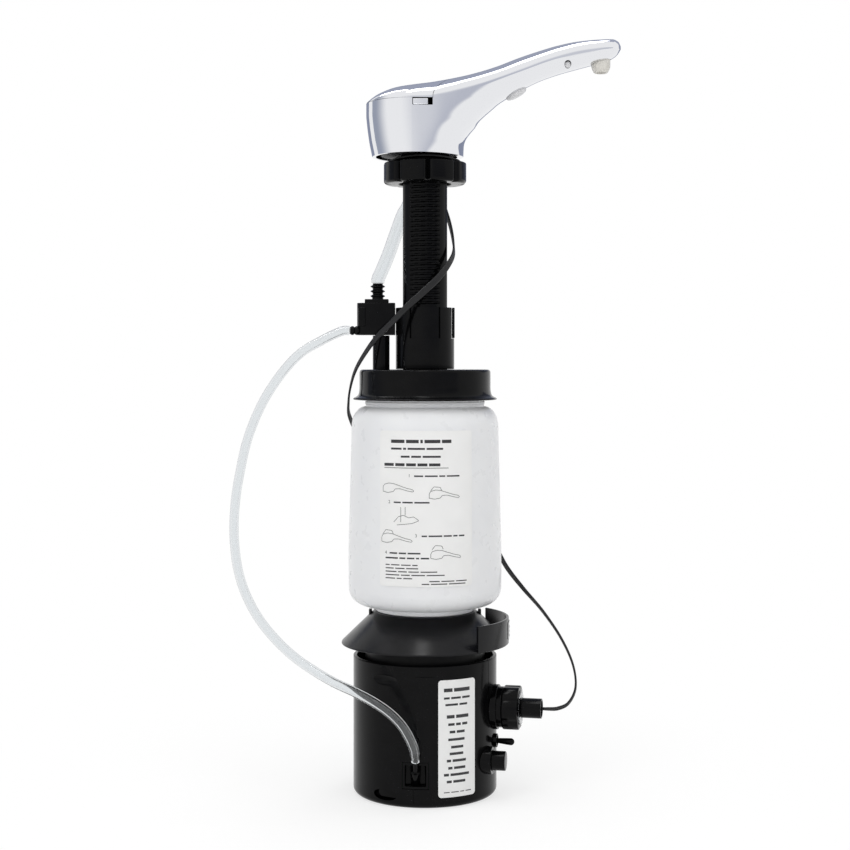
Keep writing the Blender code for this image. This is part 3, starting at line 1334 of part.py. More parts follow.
def make_spout_parts(finishes):
    """What the spout carries: plate, funnel, foam line, nozzle, sensor and light."""
    plate_low = deck_height + plate_rise
    plate = cylinder(
        "boss_plate", plate_radius, plate_low, plate_low + plate_thick, round_sides, finishes["grey"],
        Matrix.Translation((boss_foot_centre, 0, 0)))
    fit = d_outline(shank_root_radius + gap, shank_half_width + gap, shank_back + gap)
    above = plate_low + plate_thick + overrun
    half_slot_x, half_slot_y = cable_width / 2 + slack, cable_thick / 2 + slack
    cut(plate,
        prism("plate_fit", fit, plate_low - overrun, above, finishes["grey"]),
        cylinder(
            "plate_tube_hole", foam_tube_radius + gap, plate_low - overrun, above, small_sides,
            finishes["grey"], Matrix.Translation((foam_tube_x, foam_tube_y, 0))),
        block(
            "plate_cable_slot", (cable_x - half_slot_x - slack, cable_y - half_slot_x, plate_low - overrun),
            (cable_x + half_slot_x + slack, cable_y + half_slot_x, above), finishes["grey"]))

    neck_height = plate_low + plate_thick + gap + shank_flange_thick + gap
    mouth = (funnel_mouth_x, funnel_mouth_y, funnel_mouth_height)
    neck = (0.0, funnel_neck_y, neck_height)
    wide, deep = funnel_neck_half_width, funnel_neck_half_depth
    rings = [ring_points(neck, wide, round_sides, deep),
             ring_points(mouth, funnel_mouth_radius, round_sides),
             ring_points(mouth, funnel_mouth_radius - funnel_wall, round_sides),
             ring_points(neck, wide - funnel_wall, round_sides, deep - funnel_wall)]
    loft("fill_funnel", rings, finishes["black"], closed=True)

    tube("foam_line", foam_line_route, foam_line_radius, 2, finishes["clear"])

    nozzle_frame = Matrix.Translation((nozzle_x, 0, 0))
    nozzle_low = nozzle_mouth()
    nozzle_high = nozzle_low + nozzle_length
    nozzle_shoulder = nozzle_low + nozzle_taper_length
    nozzle_inlet_height = nozzle_high - nozzle_inlet_depth
    screen_low = nozzle_low + screen_rise
    nozzle = turned(
        "foam_nozzle",
        [(nozzle_bore, nozzle_low), (nozzle_tip_radius, nozzle_low),
         (nozzle_radius - slack, nozzle_shoulder - slack), (nozzle_radius, nozzle_shoulder + slack),
         (nozzle_radius, nozzle_high - gap), (0, nozzle_high - gap),
         (0, nozzle_inlet_height + nozzle_inlet_radius),
         (nozzle_bore, nozzle_inlet_height + nozzle_inlet_radius - gap)],
        round_sides * 5 // 8, finishes["cream"], nozzle_frame)
    along_x = Matrix.Translation((0, 0, nozzle_inlet_height)) @ Matrix.Rotation(math.pi / 2, 4, "Y")
    cut(nozzle, cylinder(
        "nozzle_inlet", nozzle_inlet_radius, nozzle_x - nozzle_radius - overrun, nozzle_x, tiny_sides,
        finishes["cream"], along_x))
    turned(
        "nozzle_screen",
        [(0, screen_low), (nozzle_bore - gap, screen_low), (nozzle_bore - gap, screen_low + screen_thick),
         (0, screen_low + screen_thick)],
        small_sides, finishes["steel"], nozzle_frame)

    lens_at = lens_frame()
    prism(
        "sensor_lens", oval(lens_half_length, lens_half_width), -lens_depth, lens_proud,
        finishes["lens"], lens_at)
    board_low = -lens_depth - gap - board_thick
    half_length, half_width = sensor_board_length / 2, sensor_board_width / 2
    block(
        "sensor_board", (-half_length, -half_width, board_low),
        (half_length, half_width, board_low + board_thick), finishes["board"], lens_at)
    cylinder(
        "indicator_light", light_radius, -light_length, -light_recess, small_sides, finishes["lens"],
        light_frame())


def barb_profile(radius, ring_radius, low, high, rings):
    """Outline of a hose barb: a stem with rings that slope towards its end."""
    points = [(0, low), (radius, low)]
    step = (high - low) / (rings + 0.4)
    for i in range(rings):
        foot = low + step * (i + 0.4)
        points += [(radius, foot), (ring_radius, foot + step * 0.12), (ring_radius, foot + step * 0.3),
                   (radius, foot + step * 0.75)]
    return points + [(radius, high), (0, high)]


def make_block(finishes):
    """Mixing block beside the socket: soap in at the side, air from the riser, foam out on top."""
    right = -socket_radius - gap
    outline = [(right, -block_half_depth), (right, block_half_depth)]
    outline += arc((block_left + block_round, block_half_depth - block_round), block_round,
                   math.pi / 2, math.pi, 5)
    outline += arc((block_left + block_round, block_round - block_half_depth), block_round,
                   math.pi, 1.5 * math.pi, 5)
    body = prism("mixing_block", outline, block_low, block_high, finishes["black"])
    step_top = block_high + block_step_height
    join(body, block(
        "block_step", (block_step_left, -block_step_half_depth, block_high - overrun),
        (block_step_right, block_step_half_depth, step_top), finishes["black"]))
    barb_top = step_top + foam_barb_height
    barb_at = Matrix.Translation((foam_barb_x, 0, 0))
    join(body, turned(
        "foam_barb",
        barb_profile(foam_barb_radius, foam_barb_ring_radius, step_top - overrun, barb_top,
                     foam_barb_rings),
        small_sides, finishes["black"], barb_at))
    side = Matrix.Translation((riser_x, 0, soap_barb_height)) @ Matrix.Rotation(
        soap_barb_turn, 4, "Z") @ Matrix.Rotation(math.pi / 2, 4, "Y")
    join(body, turned(
        "soap_barb",
        barb_profile(soap_barb_radius, soap_barb_ring_radius, soap_barb_start, soap_barb_reach, 2),
        tiny_sides, finishes["black"], side))
    chamber_top = block_low + ball_chamber_height
    cut(body,
        cylinder(
            "ball_chamber", ball_chamber_radius, block_low - overrun, chamber_top, small_sides,
            finishes["black"], Matrix.Translation((riser_x, 0, 0))),
        cylinder(
            "foam_bore", foam_barb_radius - barb_bore, chamber_top - overrun, barb_top + overrun,
            tiny_sides, finishes["black"], barb_at),
        cylinder(
            "soap_bore", soap_barb_radius - barb_bore / 2, 0.0, soap_barb_reach + overrun, tiny_sides,
            finishes["black"], side))

    turned(
        "air_riser",
        [(riser_bore, shank_low), (riser_radius, shank_low), (riser_radius, block_low - gap),
         (riser_bore, block_low - gap)],
        small_sides + 4, finishes["black"], Matrix.Translation((riser_x, 0, 0)))
    seat = math.sqrt(ball_radius ** 2 - riser_bore ** 2)
    bm = bmesh.new()
    bmesh.ops.create_uvsphere(bm, u_segments=tiny_sides, v_segments=tiny_sides - 4, radius=ball_radius)
    ball = object_from("riser_ball", bm, finishes["steel"])
    ball.location = (riser_x, 0, block_low + seat)


def make_tubes(finishes):
    """The free tubes and the flat sensor cable outside the housings."""
    tube("foam_tube", foam_tube_route, foam_tube_radius, 3, finishes["clear"])
    tube("soap_tube", soap_tube_route, inner_line_radius, 2, finishes["clear"])
    flat_cable("sensor_cable", cable_route, cable_width, cable_thick, finishes["rubber"])


def make_plug(finishes):
    """Cable socket in the module's wall, with the plug, its washer and the ring nut."""
    black = finishes["black"]
    at = outward_frame(panel_turn, 0.0, plug_height)
    bore = plug_stem_radius + gap
    socket = cylinder(
        "cable_socket", socket_flange_radius, module_radius - 2 * module_foot_round, socket_flange_out,
        round_sides, black, at)
    cut(socket, module_form("socket_saddle", plug_height, socket_flange_radius, black))
    join(socket, turned(
        "socket_core",
        [(0, socket_back), (socket_body_radius, socket_back),
         (socket_body_radius, module_radius), (socket_boss_radius, module_radius + slack),
         (socket_boss_radius, socket_boss_out), (socket_thread_radius, socket_boss_out),
         (socket_thread_radius, socket_thread_out), (bore, socket_thread_out),
         (bore, socket_mouth_back), (0, socket_mouth_back)],
        round_sides, black, at))

    nut_low_out = socket_boss_out + gap
    nut_inner = socket_thread_radius + gap
    count = ring_nut_lobes * 6

    def lobed(height, shrink):
        points = []
        for i in range(count):
            turn = math.tau * i / count
            wave = 0.5 + 0.5 * math.cos(ring_nut_lobes * turn)
            radius = ring_nut_valley_radius + (ring_nut_radius - ring_nut_valley_radius) * wave ** 0.5
            points.append(at @ Vector((
                (radius - shrink) * math.cos(turn), (radius - shrink) * math.sin(turn), height)))
        return points

    def plain(height, radius):
        return [at @ Vector(point) for point in ring_points((0, 0, height), radius, count)]

    lip_low = ring_nut_out - ring_nut_lip
    rings = [lobed(nut_low_out, gap), lobed(nut_low_out + slack, 0.0), lobed(ring_nut_out - slack, 0.0),
             lobed(ring_nut_out, slack), plain(ring_nut_out, bore + slack),
             plain(lip_low, bore + slack), plain(lip_low, nut_inner), plain(nut_low_out, nut_inner)]
    ring_nut = loft("coupling_nut", rings, black, closed=True)
    put_origin(ring_nut, at @ Vector((0, 0, nut_low_out)))

    washer_low = ring_nut_out + gap
    washer_high = washer_low + washer_thick
    turned(
        "plug_washer",
        [(bore, washer_low), (washer_radius, washer_low), (washer_radius, washer_high),
         (bore, washer_high)],
        round_sides, finishes["clear"], at)
    turned(
        "cable_plug",
        [(0, socket_mouth_back + gap), (plug_stem_radius, socket_mouth_back + gap),
         (plug_stem_radius, washer_high + gap), (plug_body_radius, washer_high + gap),
         (plug_body_radius, plug_end), (0, plug_end)],
        small_sides + 4, black, at)


def module_form(name, height, reach, finish):
    """Cutter like the module's outside with a clearance, which gives a flange its curved back."""
    return cylinder(
        name, module_radius + gap, height - reach - overrun, height + reach + overrun, fine_sides * 2,
        finish)


def make_switches(finishes):
    """Toggle switch and push button on the module's right side."""
    black = finishes["black"]
    at = outward_frame(panel_turn, toggle_side, toggle_height)
    body = turned(
        "toggle_body",
        [(0, toggle_body_back), (toggle_bush_radius, toggle_body_back), (toggle_bush_radius, toggle_out),
         (toggle_mouth_radius, toggle_out), (toggle_root_radius + slack, toggle_pivot - slack),
         (toggle_root_radius + slack, toggle_pivot - toggle_mouth_radius),
         (0, toggle_pivot - toggle_mouth_radius)],
        small_sides, black, at)
    swing = Matrix.Rotation(toggle_rest, 4, "Z")
    pivot = at @ Vector((0, 0, toggle_pivot))
    lever_at = Matrix.Translation(pivot) @ swing @ Matrix.Translation(-pivot) @ at
    tip_round = toggle_tip_radius
    lever = turned(
        "toggle_lever",
        [(0, toggle_pivot - toggle_root_radius), (toggle_root_radius, toggle_pivot),
         (toggle_root_radius, toggle_out + gap), (toggle_tip_radius, toggle_tip - tip_round),
         (toggle_tip_radius * 0.8, toggle_tip - tip_round * 0.4), (toggle_tip_radius * 0.4, toggle_tip),
         (0, toggle_tip)],
        tiny_sides, black, lever_at)
    put_origin(lever, pivot)

    at = outward_frame(panel_turn, button_side, button_height)
    cup_radius = button_radius + gap
    cup_floor_out = button_back + button_cup_floor
    bezel = turned(
        "button_body",
        [(cup_radius + gap, module_radius - 2 * module_foot_round),
         (button_bezel_radius, module_radius - 2 * module_foot_round),
         (button_bezel_radius, button_bezel_out), (cup_radius + gap, button_bezel_out)],
        round_sides * 3 // 4, black, at)
    cut(bezel, module_form("bezel_saddle", button_height, button_bezel_radius, black))
    join(bezel, turned(
        "button_cup",
        [(0, button_back), (button_body_radius, button_back),
         (button_body_radius, button_bezel_out - gap), (cup_radius, button_bezel_out - gap),
         (cup_radius, cup_floor_out), (0, cup_floor_out)],
        round_sides * 3 // 4, black, at))
    button_low = cup_floor_out + button_travel + gap
    button = turned(
        "push_button",
        [(0, button_low), (button_radius, button_low), (button_radius, button_out - slack),
         (button_radius - slack, button_out), (0, button_out)],
        round_sides * 5 // 8, black, at)
    put_origin(button, at @ Vector((0, 0, button_out)))


def make_hose_plate(finishes):
    """Square plate in the module's front with the nipple for the soap tube."""
    black = finishes["black"]
    left = hose_plate_centre - hose_plate_size / 2 + gap
    right = hose_plate_centre + hose_plate_size / 2 - gap
    low, high = hose_plate_low + gap, hose_plate_low + hose_plate_size - gap
    back = -hose_plate_back - gap
    plate = block("hose_plate", (left, -module_radius - overrun, low), (right, back, high), black)
    wall = hose_plate_wall
    cut(plate, block(
        "plate_pocket", (left + wall, -module_radius - 2 * overrun, low + wall),
        (right - wall, back - wall, high - wall), black))
    trim_inner = module_radius - gap
    cut(plate, prism(
        "plate_trim",
        sector(trim_inner, module_radius + 4 * overrun, hose_seam_turn - math.pi / 6,
               hose_seam_turn + math.pi / 6, 24),
        low - overrun, high + overrun, black))

    foot = Vector((hose_plate_centre, -nipple_foot_out, nipple_foot_height))
    end = Vector((hose_plate_centre, -nipple_end_out, nipple_end_height))
    lean = (end - foot).normalized()
    length = (end - foot).length
    turn = lean.to_track_quat("Z", "Y").to_matrix().to_4x4()
    step = length * nipple_step_share
    nipple = turned(
        "hose_nipple",
        [(0, -nipple_block_radius), (nipple_block_radius, -nipple_block_radius),
         (nipple_block_radius, step), (nipple_radius, step), (nipple_radius, length), (0, length)],
        tiny_sides, black, Matrix.Translation(foot) @ turn)
    elbow_y = inner_line_reach * math.sin(inner_line_turn)
    elbow_x = inner_line_reach * math.cos(inner_line_turn)
    along_y = Matrix.Translation((elbow_x, 0, elbow_height)) @ Matrix.Rotation(math.pi / 2, 4, "X")
    across_bar = cylinder(
        "elbow_bar", elbow_radius, -elbow_y, hose_plate_back + wall, tiny_sides, black, along_y)
    upright = cylinder(
        "elbow_upright", elbow_radius, elbow_height - elbow_radius, elbow_top, tiny_sides, black,
        Matrix.Translation((elbow_x, elbow_y, 0)))
    join(plate, nipple, across_bar, upright)


def make_module_label(finishes):
    shell_patch(
        "module_label", lambda height: module_radius + gap, label_thick, module_label_start,
        module_label_end, module_label_low, module_label_high, 8, 1, finishes["label"])


def main():
    clear_scene()
    finishes = {
        "chrome": make_finish("chrome", chrome_colour, 0.08, 1.0),
        "black": make_finish("black plastic", black_colour, 0.35),
        "grey": make_finish("grey plastic", grey_colour, 0.5),
        "rubber": make_finish("rubber", rubber_colour, 0.6),
        "bottle": make_finish("milky plastic", bottle_colour, 0.35),
        "clear": make_finish("clear tube", clear_colour, 0.1),
        "label": make_finish("label", label_colour, 0.5),
        "cream": make_finish("cream plastic", cream_colour, 0.4),
        "lens": make_finish("lens", label_colour, 0.15),
        "steel": make_finish("steel", steel_colour, 0.3, 1.0),
        "board": make_finish("circuit board", board_colour, 0.5),
        "green": make_finish("cell wrap", green_colour, 0.4),
    }
    make_module(finishes)
    make_power(finishes)
    make_pump(finishes)
    make_cone(finishes)
    make_guard_label(finishes)
    make_bottle(finishes)
    make_cap(finishes)
    make_shank(finishes)
    make_socket(finishes)
    make_nut(finishes)
    make_spout(finishes)
    make_spout_parts(finishes)
    make_block(finishes)
    make_tubes(finishes)
    make_plug(finishes)
    make_switches(finishes)
    make_hose_plate(finishes)
    make_module_label(finishes)


main()
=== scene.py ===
"""Looks of the automatic foam soap dispenser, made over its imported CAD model.

Places are in metres in the model's own frame. +Z is up, the spout reaches along +X, and the front,
where the tubes and the bottle's label are, faces -Y.
"""

import json
import math

import bmesh
import bpy
import numpy as np
from mathutils import Matrix, Vector

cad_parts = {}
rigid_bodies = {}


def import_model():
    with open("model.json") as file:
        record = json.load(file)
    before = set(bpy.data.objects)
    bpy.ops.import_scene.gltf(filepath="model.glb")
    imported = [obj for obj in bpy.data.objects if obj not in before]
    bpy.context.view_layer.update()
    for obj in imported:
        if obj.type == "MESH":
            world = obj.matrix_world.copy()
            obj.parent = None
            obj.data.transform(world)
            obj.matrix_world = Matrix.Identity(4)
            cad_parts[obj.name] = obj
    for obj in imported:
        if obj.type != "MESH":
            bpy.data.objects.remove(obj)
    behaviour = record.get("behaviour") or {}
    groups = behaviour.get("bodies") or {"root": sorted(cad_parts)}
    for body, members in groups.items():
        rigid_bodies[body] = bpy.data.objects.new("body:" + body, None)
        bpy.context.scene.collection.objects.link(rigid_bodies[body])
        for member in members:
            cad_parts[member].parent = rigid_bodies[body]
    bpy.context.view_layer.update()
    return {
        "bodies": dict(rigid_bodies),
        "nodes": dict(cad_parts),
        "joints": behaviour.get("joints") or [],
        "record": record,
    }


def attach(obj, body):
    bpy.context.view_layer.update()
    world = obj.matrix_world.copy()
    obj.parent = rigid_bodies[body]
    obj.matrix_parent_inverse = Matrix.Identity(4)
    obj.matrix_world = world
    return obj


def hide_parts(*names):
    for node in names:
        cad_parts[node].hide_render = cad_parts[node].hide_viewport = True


mm = 0.001
front = -math.pi / 2
dispenser = "dispenser"

# Camera, from the photograph's own measures
photo_width = 850
photo_pixels_away = 1600
photo_scale = 0.69 * mm
photo_horizon = 361
camera_height = 295.7 * mm

# Spout outline, as shares of its length from the tail and of its rise above the deck
deck_height = 436.2 * mm
spout_rise = 81.1 * mm
spout_length = 175.5 * mm
tail_reach = 40.5 * mm
boss_foot_radius = 31.4 * mm
boss_foot_centre = -5.0 * mm
boss_top_radius = 32.0 * mm
boss_top_centre = -8.5 * mm
spout_wall = 2.5 * mm
nose_share = 1.6
seam_height = 472.4 * mm
seam_gap = 0.3 * mm
lid_front = 20.0 * mm
lid_arc_radius = 40.6 * mm
lid_pin_x = 0.0 * mm
lid_pin_y = 26.0 * mm
tail_lean = 4.1 * mm
top_line = (
    (0.0, 0.452), (0.051, 0.523), (0.12, 0.577), (0.183, 0.6), (0.27, 0.627), (0.364, 0.667),
    (0.438, 0.709), (0.517, 0.766), (0.595, 0.834), (0.674, 0.893), (0.751, 0.943), (0.827, 0.977),
    (0.906, 0.994), (0.965, 0.999), (0.99, 0.978), (1.0, 0.94))
edge_line = (
    (0.0, 0.4464), (0.24, 0.4464), (0.3, 0.472), (0.364, 0.512), (0.438, 0.562), (0.52, 0.626),
    (0.614, 0.703), (0.707, 0.783), (0.802, 0.846), (0.848, 0.868), (0.915, 0.89), (0.98, 0.91),
    (1.0, 0.925))
under_line = (
    (0.3812, 0.0), (0.3835, 0.097), (0.391, 0.148), (0.407, 0.2), (0.427, 0.25), (0.442, 0.301),
    (0.466, 0.353), (0.493, 0.403), (0.521, 0.455), (0.564, 0.514), (0.643, 0.608), (0.694, 0.658),
    (0.765, 0.71), (0.879, 0.778), (0.95, 0.82), (0.985, 0.867), (1.0, 0.915))
arm_width = (
    (0.182, 1.0), (0.27, 0.97), (0.345, 0.895), (0.43, 0.765), (0.52, 0.63), (0.63, 0.515),
    (0.74, 0.445), (0.86, 0.405), (0.93, 0.385), (0.965, 0.33), (0.988, 0.2), (1.0, 0.06))
tail_lean_line = (
    (0.0, 1.0), (0.1, 0.83), (0.25, 0.56), (0.45, 0.3), (0.6, 0.14), (0.8, 0.0), (1.0, 0.0))

# Riser and soap line, and where the panel's fittings sit: along the wall and up, in millimetres
riser_place = Matrix.Translation((-30.2 * mm, 0, 0))
soap_line_place = Matrix.Translation((-6.04 * mm, -34.27 * mm, 0))
panel_turn = math.radians(-12)
socket_at = (0.0, 59.5)
toggle_at = (-2.2, 37.0)
button_at = (-15.8, 26.6)

# Labels: the film's underside, its thickness and the print over it, and the labels' places
film_lift = 0.3 * mm
film_thickness = 0.2 * mm
ink_lift = 0.54 * mm
module_radius = 49.3 * mm
bottle_label_turn = math.radians(-89.15)
module_label_turn = math.radians(-64.0)

# Routes of the free tubes and the cable, in millimetres, as the CAD has them
foam_tube_route = (
    (-10.1, 4.45, 441.0), (-10.1, 4.45, 425.0), (-10.1, 4.45, 409.0), (-12.0, 4.4, 402.5),
    (-15.4, 4.4, 396.5), (-20.3, 3.8, 383.0), (-25.3, 2.6, 369.0), (-29.6, 1.1, 358.5),
    (-32.2, 0.2, 352.6), (-32.6, 0.0, 349.5))
soap_tube_route = (
    (-52.1, -5.45, 316.6), (-57.5, -6.8, 316.0), (-71.0, -10.5, 309.5), (-85.5, -12.5, 300.5),
    (-99.0, -13.5, 285.5), (-111.0, -14.0, 266.5), (-120.5, -14.5, 243.5), (-126.0, -15.0, 219.5),
    (-129.0, -16.0, 199.0), (-129.6, -18.0, 178.5), (-127.2, -21.0, 158.0), (-121.8, -25.5, 141.0),
    (-112.4, -31.0, 124.5), (-99.6, -37.0, 110.0), (-84.0, -43.5, 97.5), (-63.0, -52.0, 86.0),
    (-46.0, -57.0, 79.0), (-32.5, -60.5, 72.5), (-21.8, -61.5, 65.0), (-13.6, -60.6, 55.5),
    (-7.6, -58.6, 43.0), (-6.5, -56.2, 36.4), (-6.3, -54.6, 33.9))
cable_route = (
    (46.5, 0.0, 479.0), (40.0, 0.6, 474.8), (31.0, 2.4, 469.4), (22.0, 5.2, 462.6),
    (14.6, 6.6, 454.6), (10.4, 6.6, 445.4), (9.5, 6.4, 434.0), (9.8, 6.4, 412.5), (13.6, 6.6, 402.0),
    (17.2, 5.6, 390.5), (19.4, 1.6, 379.0), (19.6, -6.4, 369.5), (16.0, -15.2, 361.5),
    (8.9, -21.0, 352.0), (-2.0, -23.6, 341.5), (-12.3, -24.4, 332.2), (-22.6, -22.0, 321.5),
    (-33.0, -17.6, 311.5), (-41.2, -12.6, 300.5), (-47.6, -7.0, 289.6), (-51.2, -1.6, 278.6),
    (-52.9, 3.6, 268.0), (-52.6, 12.0, 257.0), (-45.6, 32.0, 243.0), (-26.0, 51.0, 226.0),
    (2.0, 58.2, 207.0), (30.0, 50.6, 186.5), (47.6, 34.6, 167.0), (57.6, 20.6, 150.5),
    (68.6, 11.0, 137.0), (81.5, 4.4, 122.5), (93.6, -2.0, 105.0), (101.2, -8.4, 88.0),
    (102.6, -14.0, 73.5), (97.6, -17.6, 63.6), (90.2, -18.5, 60.0), (83.0, -17.7, 59.5),
    (79.7, -17.0, 59.5))
inner_line_route = (
    (0.0, -21.9, 105.6), (0.0, -26.0, 105.4), (-1.6, -31.0, 102.0), (-4.4, -33.8, 94.0),
    (-6.0, -34.3, 84.0), (-6.0, -34.3, 60.0), (-6.0, -34.3, 40.0), (-6.0, -34.3, 31.9))
foam_line_route = (
    (-10.1, 4.45, 441.3), (-10.1, 4.45, 443.5), (-8.8, 9.6, 451.0), (-2.6, 15.6, 459.5),
    (8.0, 17.6, 468.5), (20.0, 14.6, 475.5), (35.0, 9.6, 482.5), (52.0, 6.2, 489.6),
    (70.0, 4.4, 497.6), (88.0, 2.4, 502.6), (104.0, 0.5, 505.0), (114.5, 0.0, 505.0))


def smooth_line(table, at):
    """Monotone cubic through (place, value) pairs: Hermite pieces whose slopes are harmonic means."""
    places, values = np.array(table, dtype=float).T
    rises = np.diff(values) / np.diff(places)
    slopes = np.concatenate((rises[:1], np.zeros(len(rises) - 1), rises[-1:]))
    same = rises[:-1] * rises[1:] > 0
    before, after = rises[:-1][same], rises[1:][same]
    slopes[1:-1][same] = 2 * before * after / (before + after)
    at = np.clip(at, places[0], places[-1])
    i = np.clip(np.searchsorted(places, at) - 1, 0, len(places) - 2)
    step = places[i + 1] - places[i]
    t = (at - places[i]) / step
    near = (1 + 2 * t) * (1 - t) ** 2 * values[i] + t * (1 - t) ** 2 * step * slopes[i]
    far = t * t * (3 - 2 * t) * values[i + 1] + t * t * (t - 1) * step * slopes[i + 1]
    return near + far


def even_route(route, spacing):
    """Even points along a Catmull-Rom curve, which passes through every point of a route."""
    points = np.array(route, dtype=float) * mm
    padded = np.vstack((2 * points[0] - points[1], points, 2 * points[-1] - points[-2]))
    a, b, c, d = (padded[k:len(points) - 1 + k, None] for k in range(4))
    t = (np.arange(24) / 24)[None, :, None]
    fine = 0.5 * (2 * b + (c - a) * t + (2 * a - 5 * b + 4 * c - d) * t ** 2
                  + (3 * b - a - 3 * c + d) * t ** 3)
    fine = np.vstack((fine.reshape(-1, 3), points[-1]))
    along = np.concatenate(([0], np.cumsum(np.linalg.norm(np.diff(fine, axis=0), axis=1))))
    even = np.linspace(0, along[-1], max(2, round(along[-1] / spacing) + 1))
    return np.stack([np.interp(even, along, fine[:, axis]) for axis in range(3)], axis=1)


def grid_shape(grid, wrap_rows=False, wrap_columns=True):
    """Points and quads of a surface given as a grid of points, rows by columns."""
    rows, columns = grid.shape[:2]
    r = np.arange(rows if wrap_rows else rows - 1)
    c = np.arange(columns if wrap_columns else columns - 1)
    r, c = np.meshgrid(r, c, indexing="ij")
    above, beside = (r + 1) % rows, (c + 1) % columns
    quads = np.stack((r * columns + c, r * columns + beside, above * columns + beside,
                      above * columns + c), axis=-1)
    return grid.reshape(-1, 3), quads.reshape(-1, 4)


def place(points, frame):
    """Points carried by a 4 by 4 frame."""
    frame = np.array(frame)
    return points @ frame[:3, :3].T + frame[:3, 3]


def soften(outline, radius, closed=True, steps=4):
    """Outline with a parabola in each corner: it leaves and meets the sides at the given radius."""
    corner = np.asarray(outline, dtype=float)
    before, after = np.roll(corner, 1, axis=0) - corner, np.roll(corner, -1, axis=0) - corner
    back = np.linalg.norm(before, axis=1, keepdims=True)
    ahead = np.linalg.norm(after, axis=1, keepdims=True)
    start = corner + before / back * np.minimum(radius, 0.45 * back)
    end = corner + after / ahead * np.minimum(radius, 0.45 * ahead)
    t = np.linspace(0, 1, steps + 1)[None, :, None]
    arcs = (1 - t) ** 2 * start[:, None] + 2 * t * (1 - t) * corner[:, None] + t * t * end[:, None]
    if closed:
        return arcs.reshape(-1, 2)
    return np.vstack((corner[:1], arcs[1:-1].reshape(-1, 2), corner[-1:]))


def turned(profile, columns=96, frame=None):
    """Surface of revolution: (r, z) points carried round the Z axis.

    A profile that starts and ends on the axis closes in two poles. Any other closes on itself.
    """
    profile = np.asarray(profile, dtype=float)
    angles = np.linspace(0, math.tau, columns, endpoint=False)
    radius, height = profile[:, :1], profile[:, 1:]
    grid = np.stack((radius * np.cos(angles), radius * np.sin(angles),
                     np.broadcast_to(height, (len(profile), columns))), axis=-1)
    points, quads = grid_shape(grid, wrap_rows=profile[0, 0] > 0 or profile[-1, 0] > 0)
    return (place(points, frame) if frame is not None else points), quads


def lathe(points, columns, frame=None, soft=0.0, closed=True):
    """Shape turned from (radius, height) points in millimetres, its corners softened."""
    points = np.array(points, dtype=float)
    if soft:
        points = soften(points, soft, closed)
    return turned(points * mm, columns, frame)


def lofted(rings, frame=None, capped=True, wrap_rows=False):
    """Surface through rings of points, each end closed towards the middle of its ring."""
    rings = np.asarray(rings, dtype=float)
    if capped and not wrap_rows:
        ends = [np.broadcast_to(rings[k].mean(axis=0), rings[k].shape)[None] for k in (0, -1)]
        rings = np.concatenate((ends[0], rings, ends[1]))
    points, quads = grid_shape(rings, wrap_rows=wrap_rows)
    return (place(points, frame) if frame is not None else points), quads


def extruded(outline, low, high, edge=0.0, frame=None):
    """Flat outline carried from one height to another, its rims drawn in by a rounded edge.

    The rim follows a quarter circle: inset edge(1 - sin a), rise edge(1 - cos a).
    """
    outline = np.asarray(outline, dtype=float)
    tangent = np.roll(outline, -1, axis=0) - np.roll(outline, 1, axis=0)
    normal = np.stack((tangent[:, 1], -tangent[:, 0]), axis=1)
    normal /= np.linalg.norm(normal, axis=1, keepdims=True) + 1e-12
    turn = np.linspace(0, math.pi / 2, 5) if edge else np.array([math.pi / 2])
    inset = edge * (1 - np.sin(turn))
    rise = edge * (1 - np.cos(turn))
    inset = np.concatenate((inset, inset[::-1]))
    height = np.concatenate((low + rise, high - rise[::-1]))
    flat = outline[None] - normal[None] * inset[:, None, None]
    rings = np.concatenate((flat, np.broadcast_to(height[:, None, None], flat.shape[:2] + (1,))), axis=2)
    return lofted(rings, frame)


def box(low, high, edge=0.0, frame=None):
    """Box with its upright edges rounded by parabolas and its rims by quarter circles."""
    outline = ((low[0], low[1]), (high[0], low[1]), (high[0], high[1]), (low[0], high[1]))
    if edge:
        outline = soften(outline, 1.6 * edge)
    return extruded(outline, low[2], high[2], edge, frame)


def swept(path, section, upright):
    """A flat section carried along a path.

    The section's second axis keeps to a wanted direction at each point, made square to the path.
    """
    tangent = np.gradient(path, axis=0)
    tangent /= np.linalg.norm(tangent, axis=1, keepdims=True)
    second = upright - (upright * tangent).sum(axis=1, keepdims=True) * tangent
    second /= np.linalg.norm(second, axis=1, keepdims=True)
    first = np.cross(tangent, second)
    section = np.asarray(section, dtype=float)
    return (path[:, None] + first[:, None] * section[None, :, :1]
            + second[:, None] * section[None, :, 1:])


def steady_side(path):
    """A side direction along a path that turns as little as it can, found by projecting each on."""
    tangent = np.gradient(path, axis=0)
    tangent /= np.linalg.norm(tangent, axis=1, keepdims=True)
    side = np.cross(tangent[0], (0.31, 0.87, 0.38))
    sides = []
    for step in tangent:
        side = side - side.dot(step) * step
        side = side / np.linalg.norm(side)
        sides.append(side)
    return np.array(sides)


def circle(radius, count):
    """Even points on a full circle round the origin."""
    turn = np.linspace(0, math.tau, count, endpoint=False)
    return np.stack((radius * np.cos(turn), radius * np.sin(turn)), axis=1)


def arc(centre, radius, start, end, count):
    """Points on an arc from one angle to another, both in radians."""
    turn = np.linspace(start, end, count)
    return np.stack((centre[0] + radius * np.cos(turn), centre[1] + radius * np.sin(turn)), axis=1)


def tube_shape(path, radius, bore=0.0, sides=32):
    """Round tube along a path: an outer wall and, where it has a bore, an inner wall joined at the ends."""
    side = steady_side(path)
    outer = swept(path, circle(radius, sides), side)
    if not bore:
        return lofted(outer)
    inner = swept(path, circle(bore, sides), side)[::-1]
    return lofted(np.concatenate((outer, inner)), wrap_rows=True)


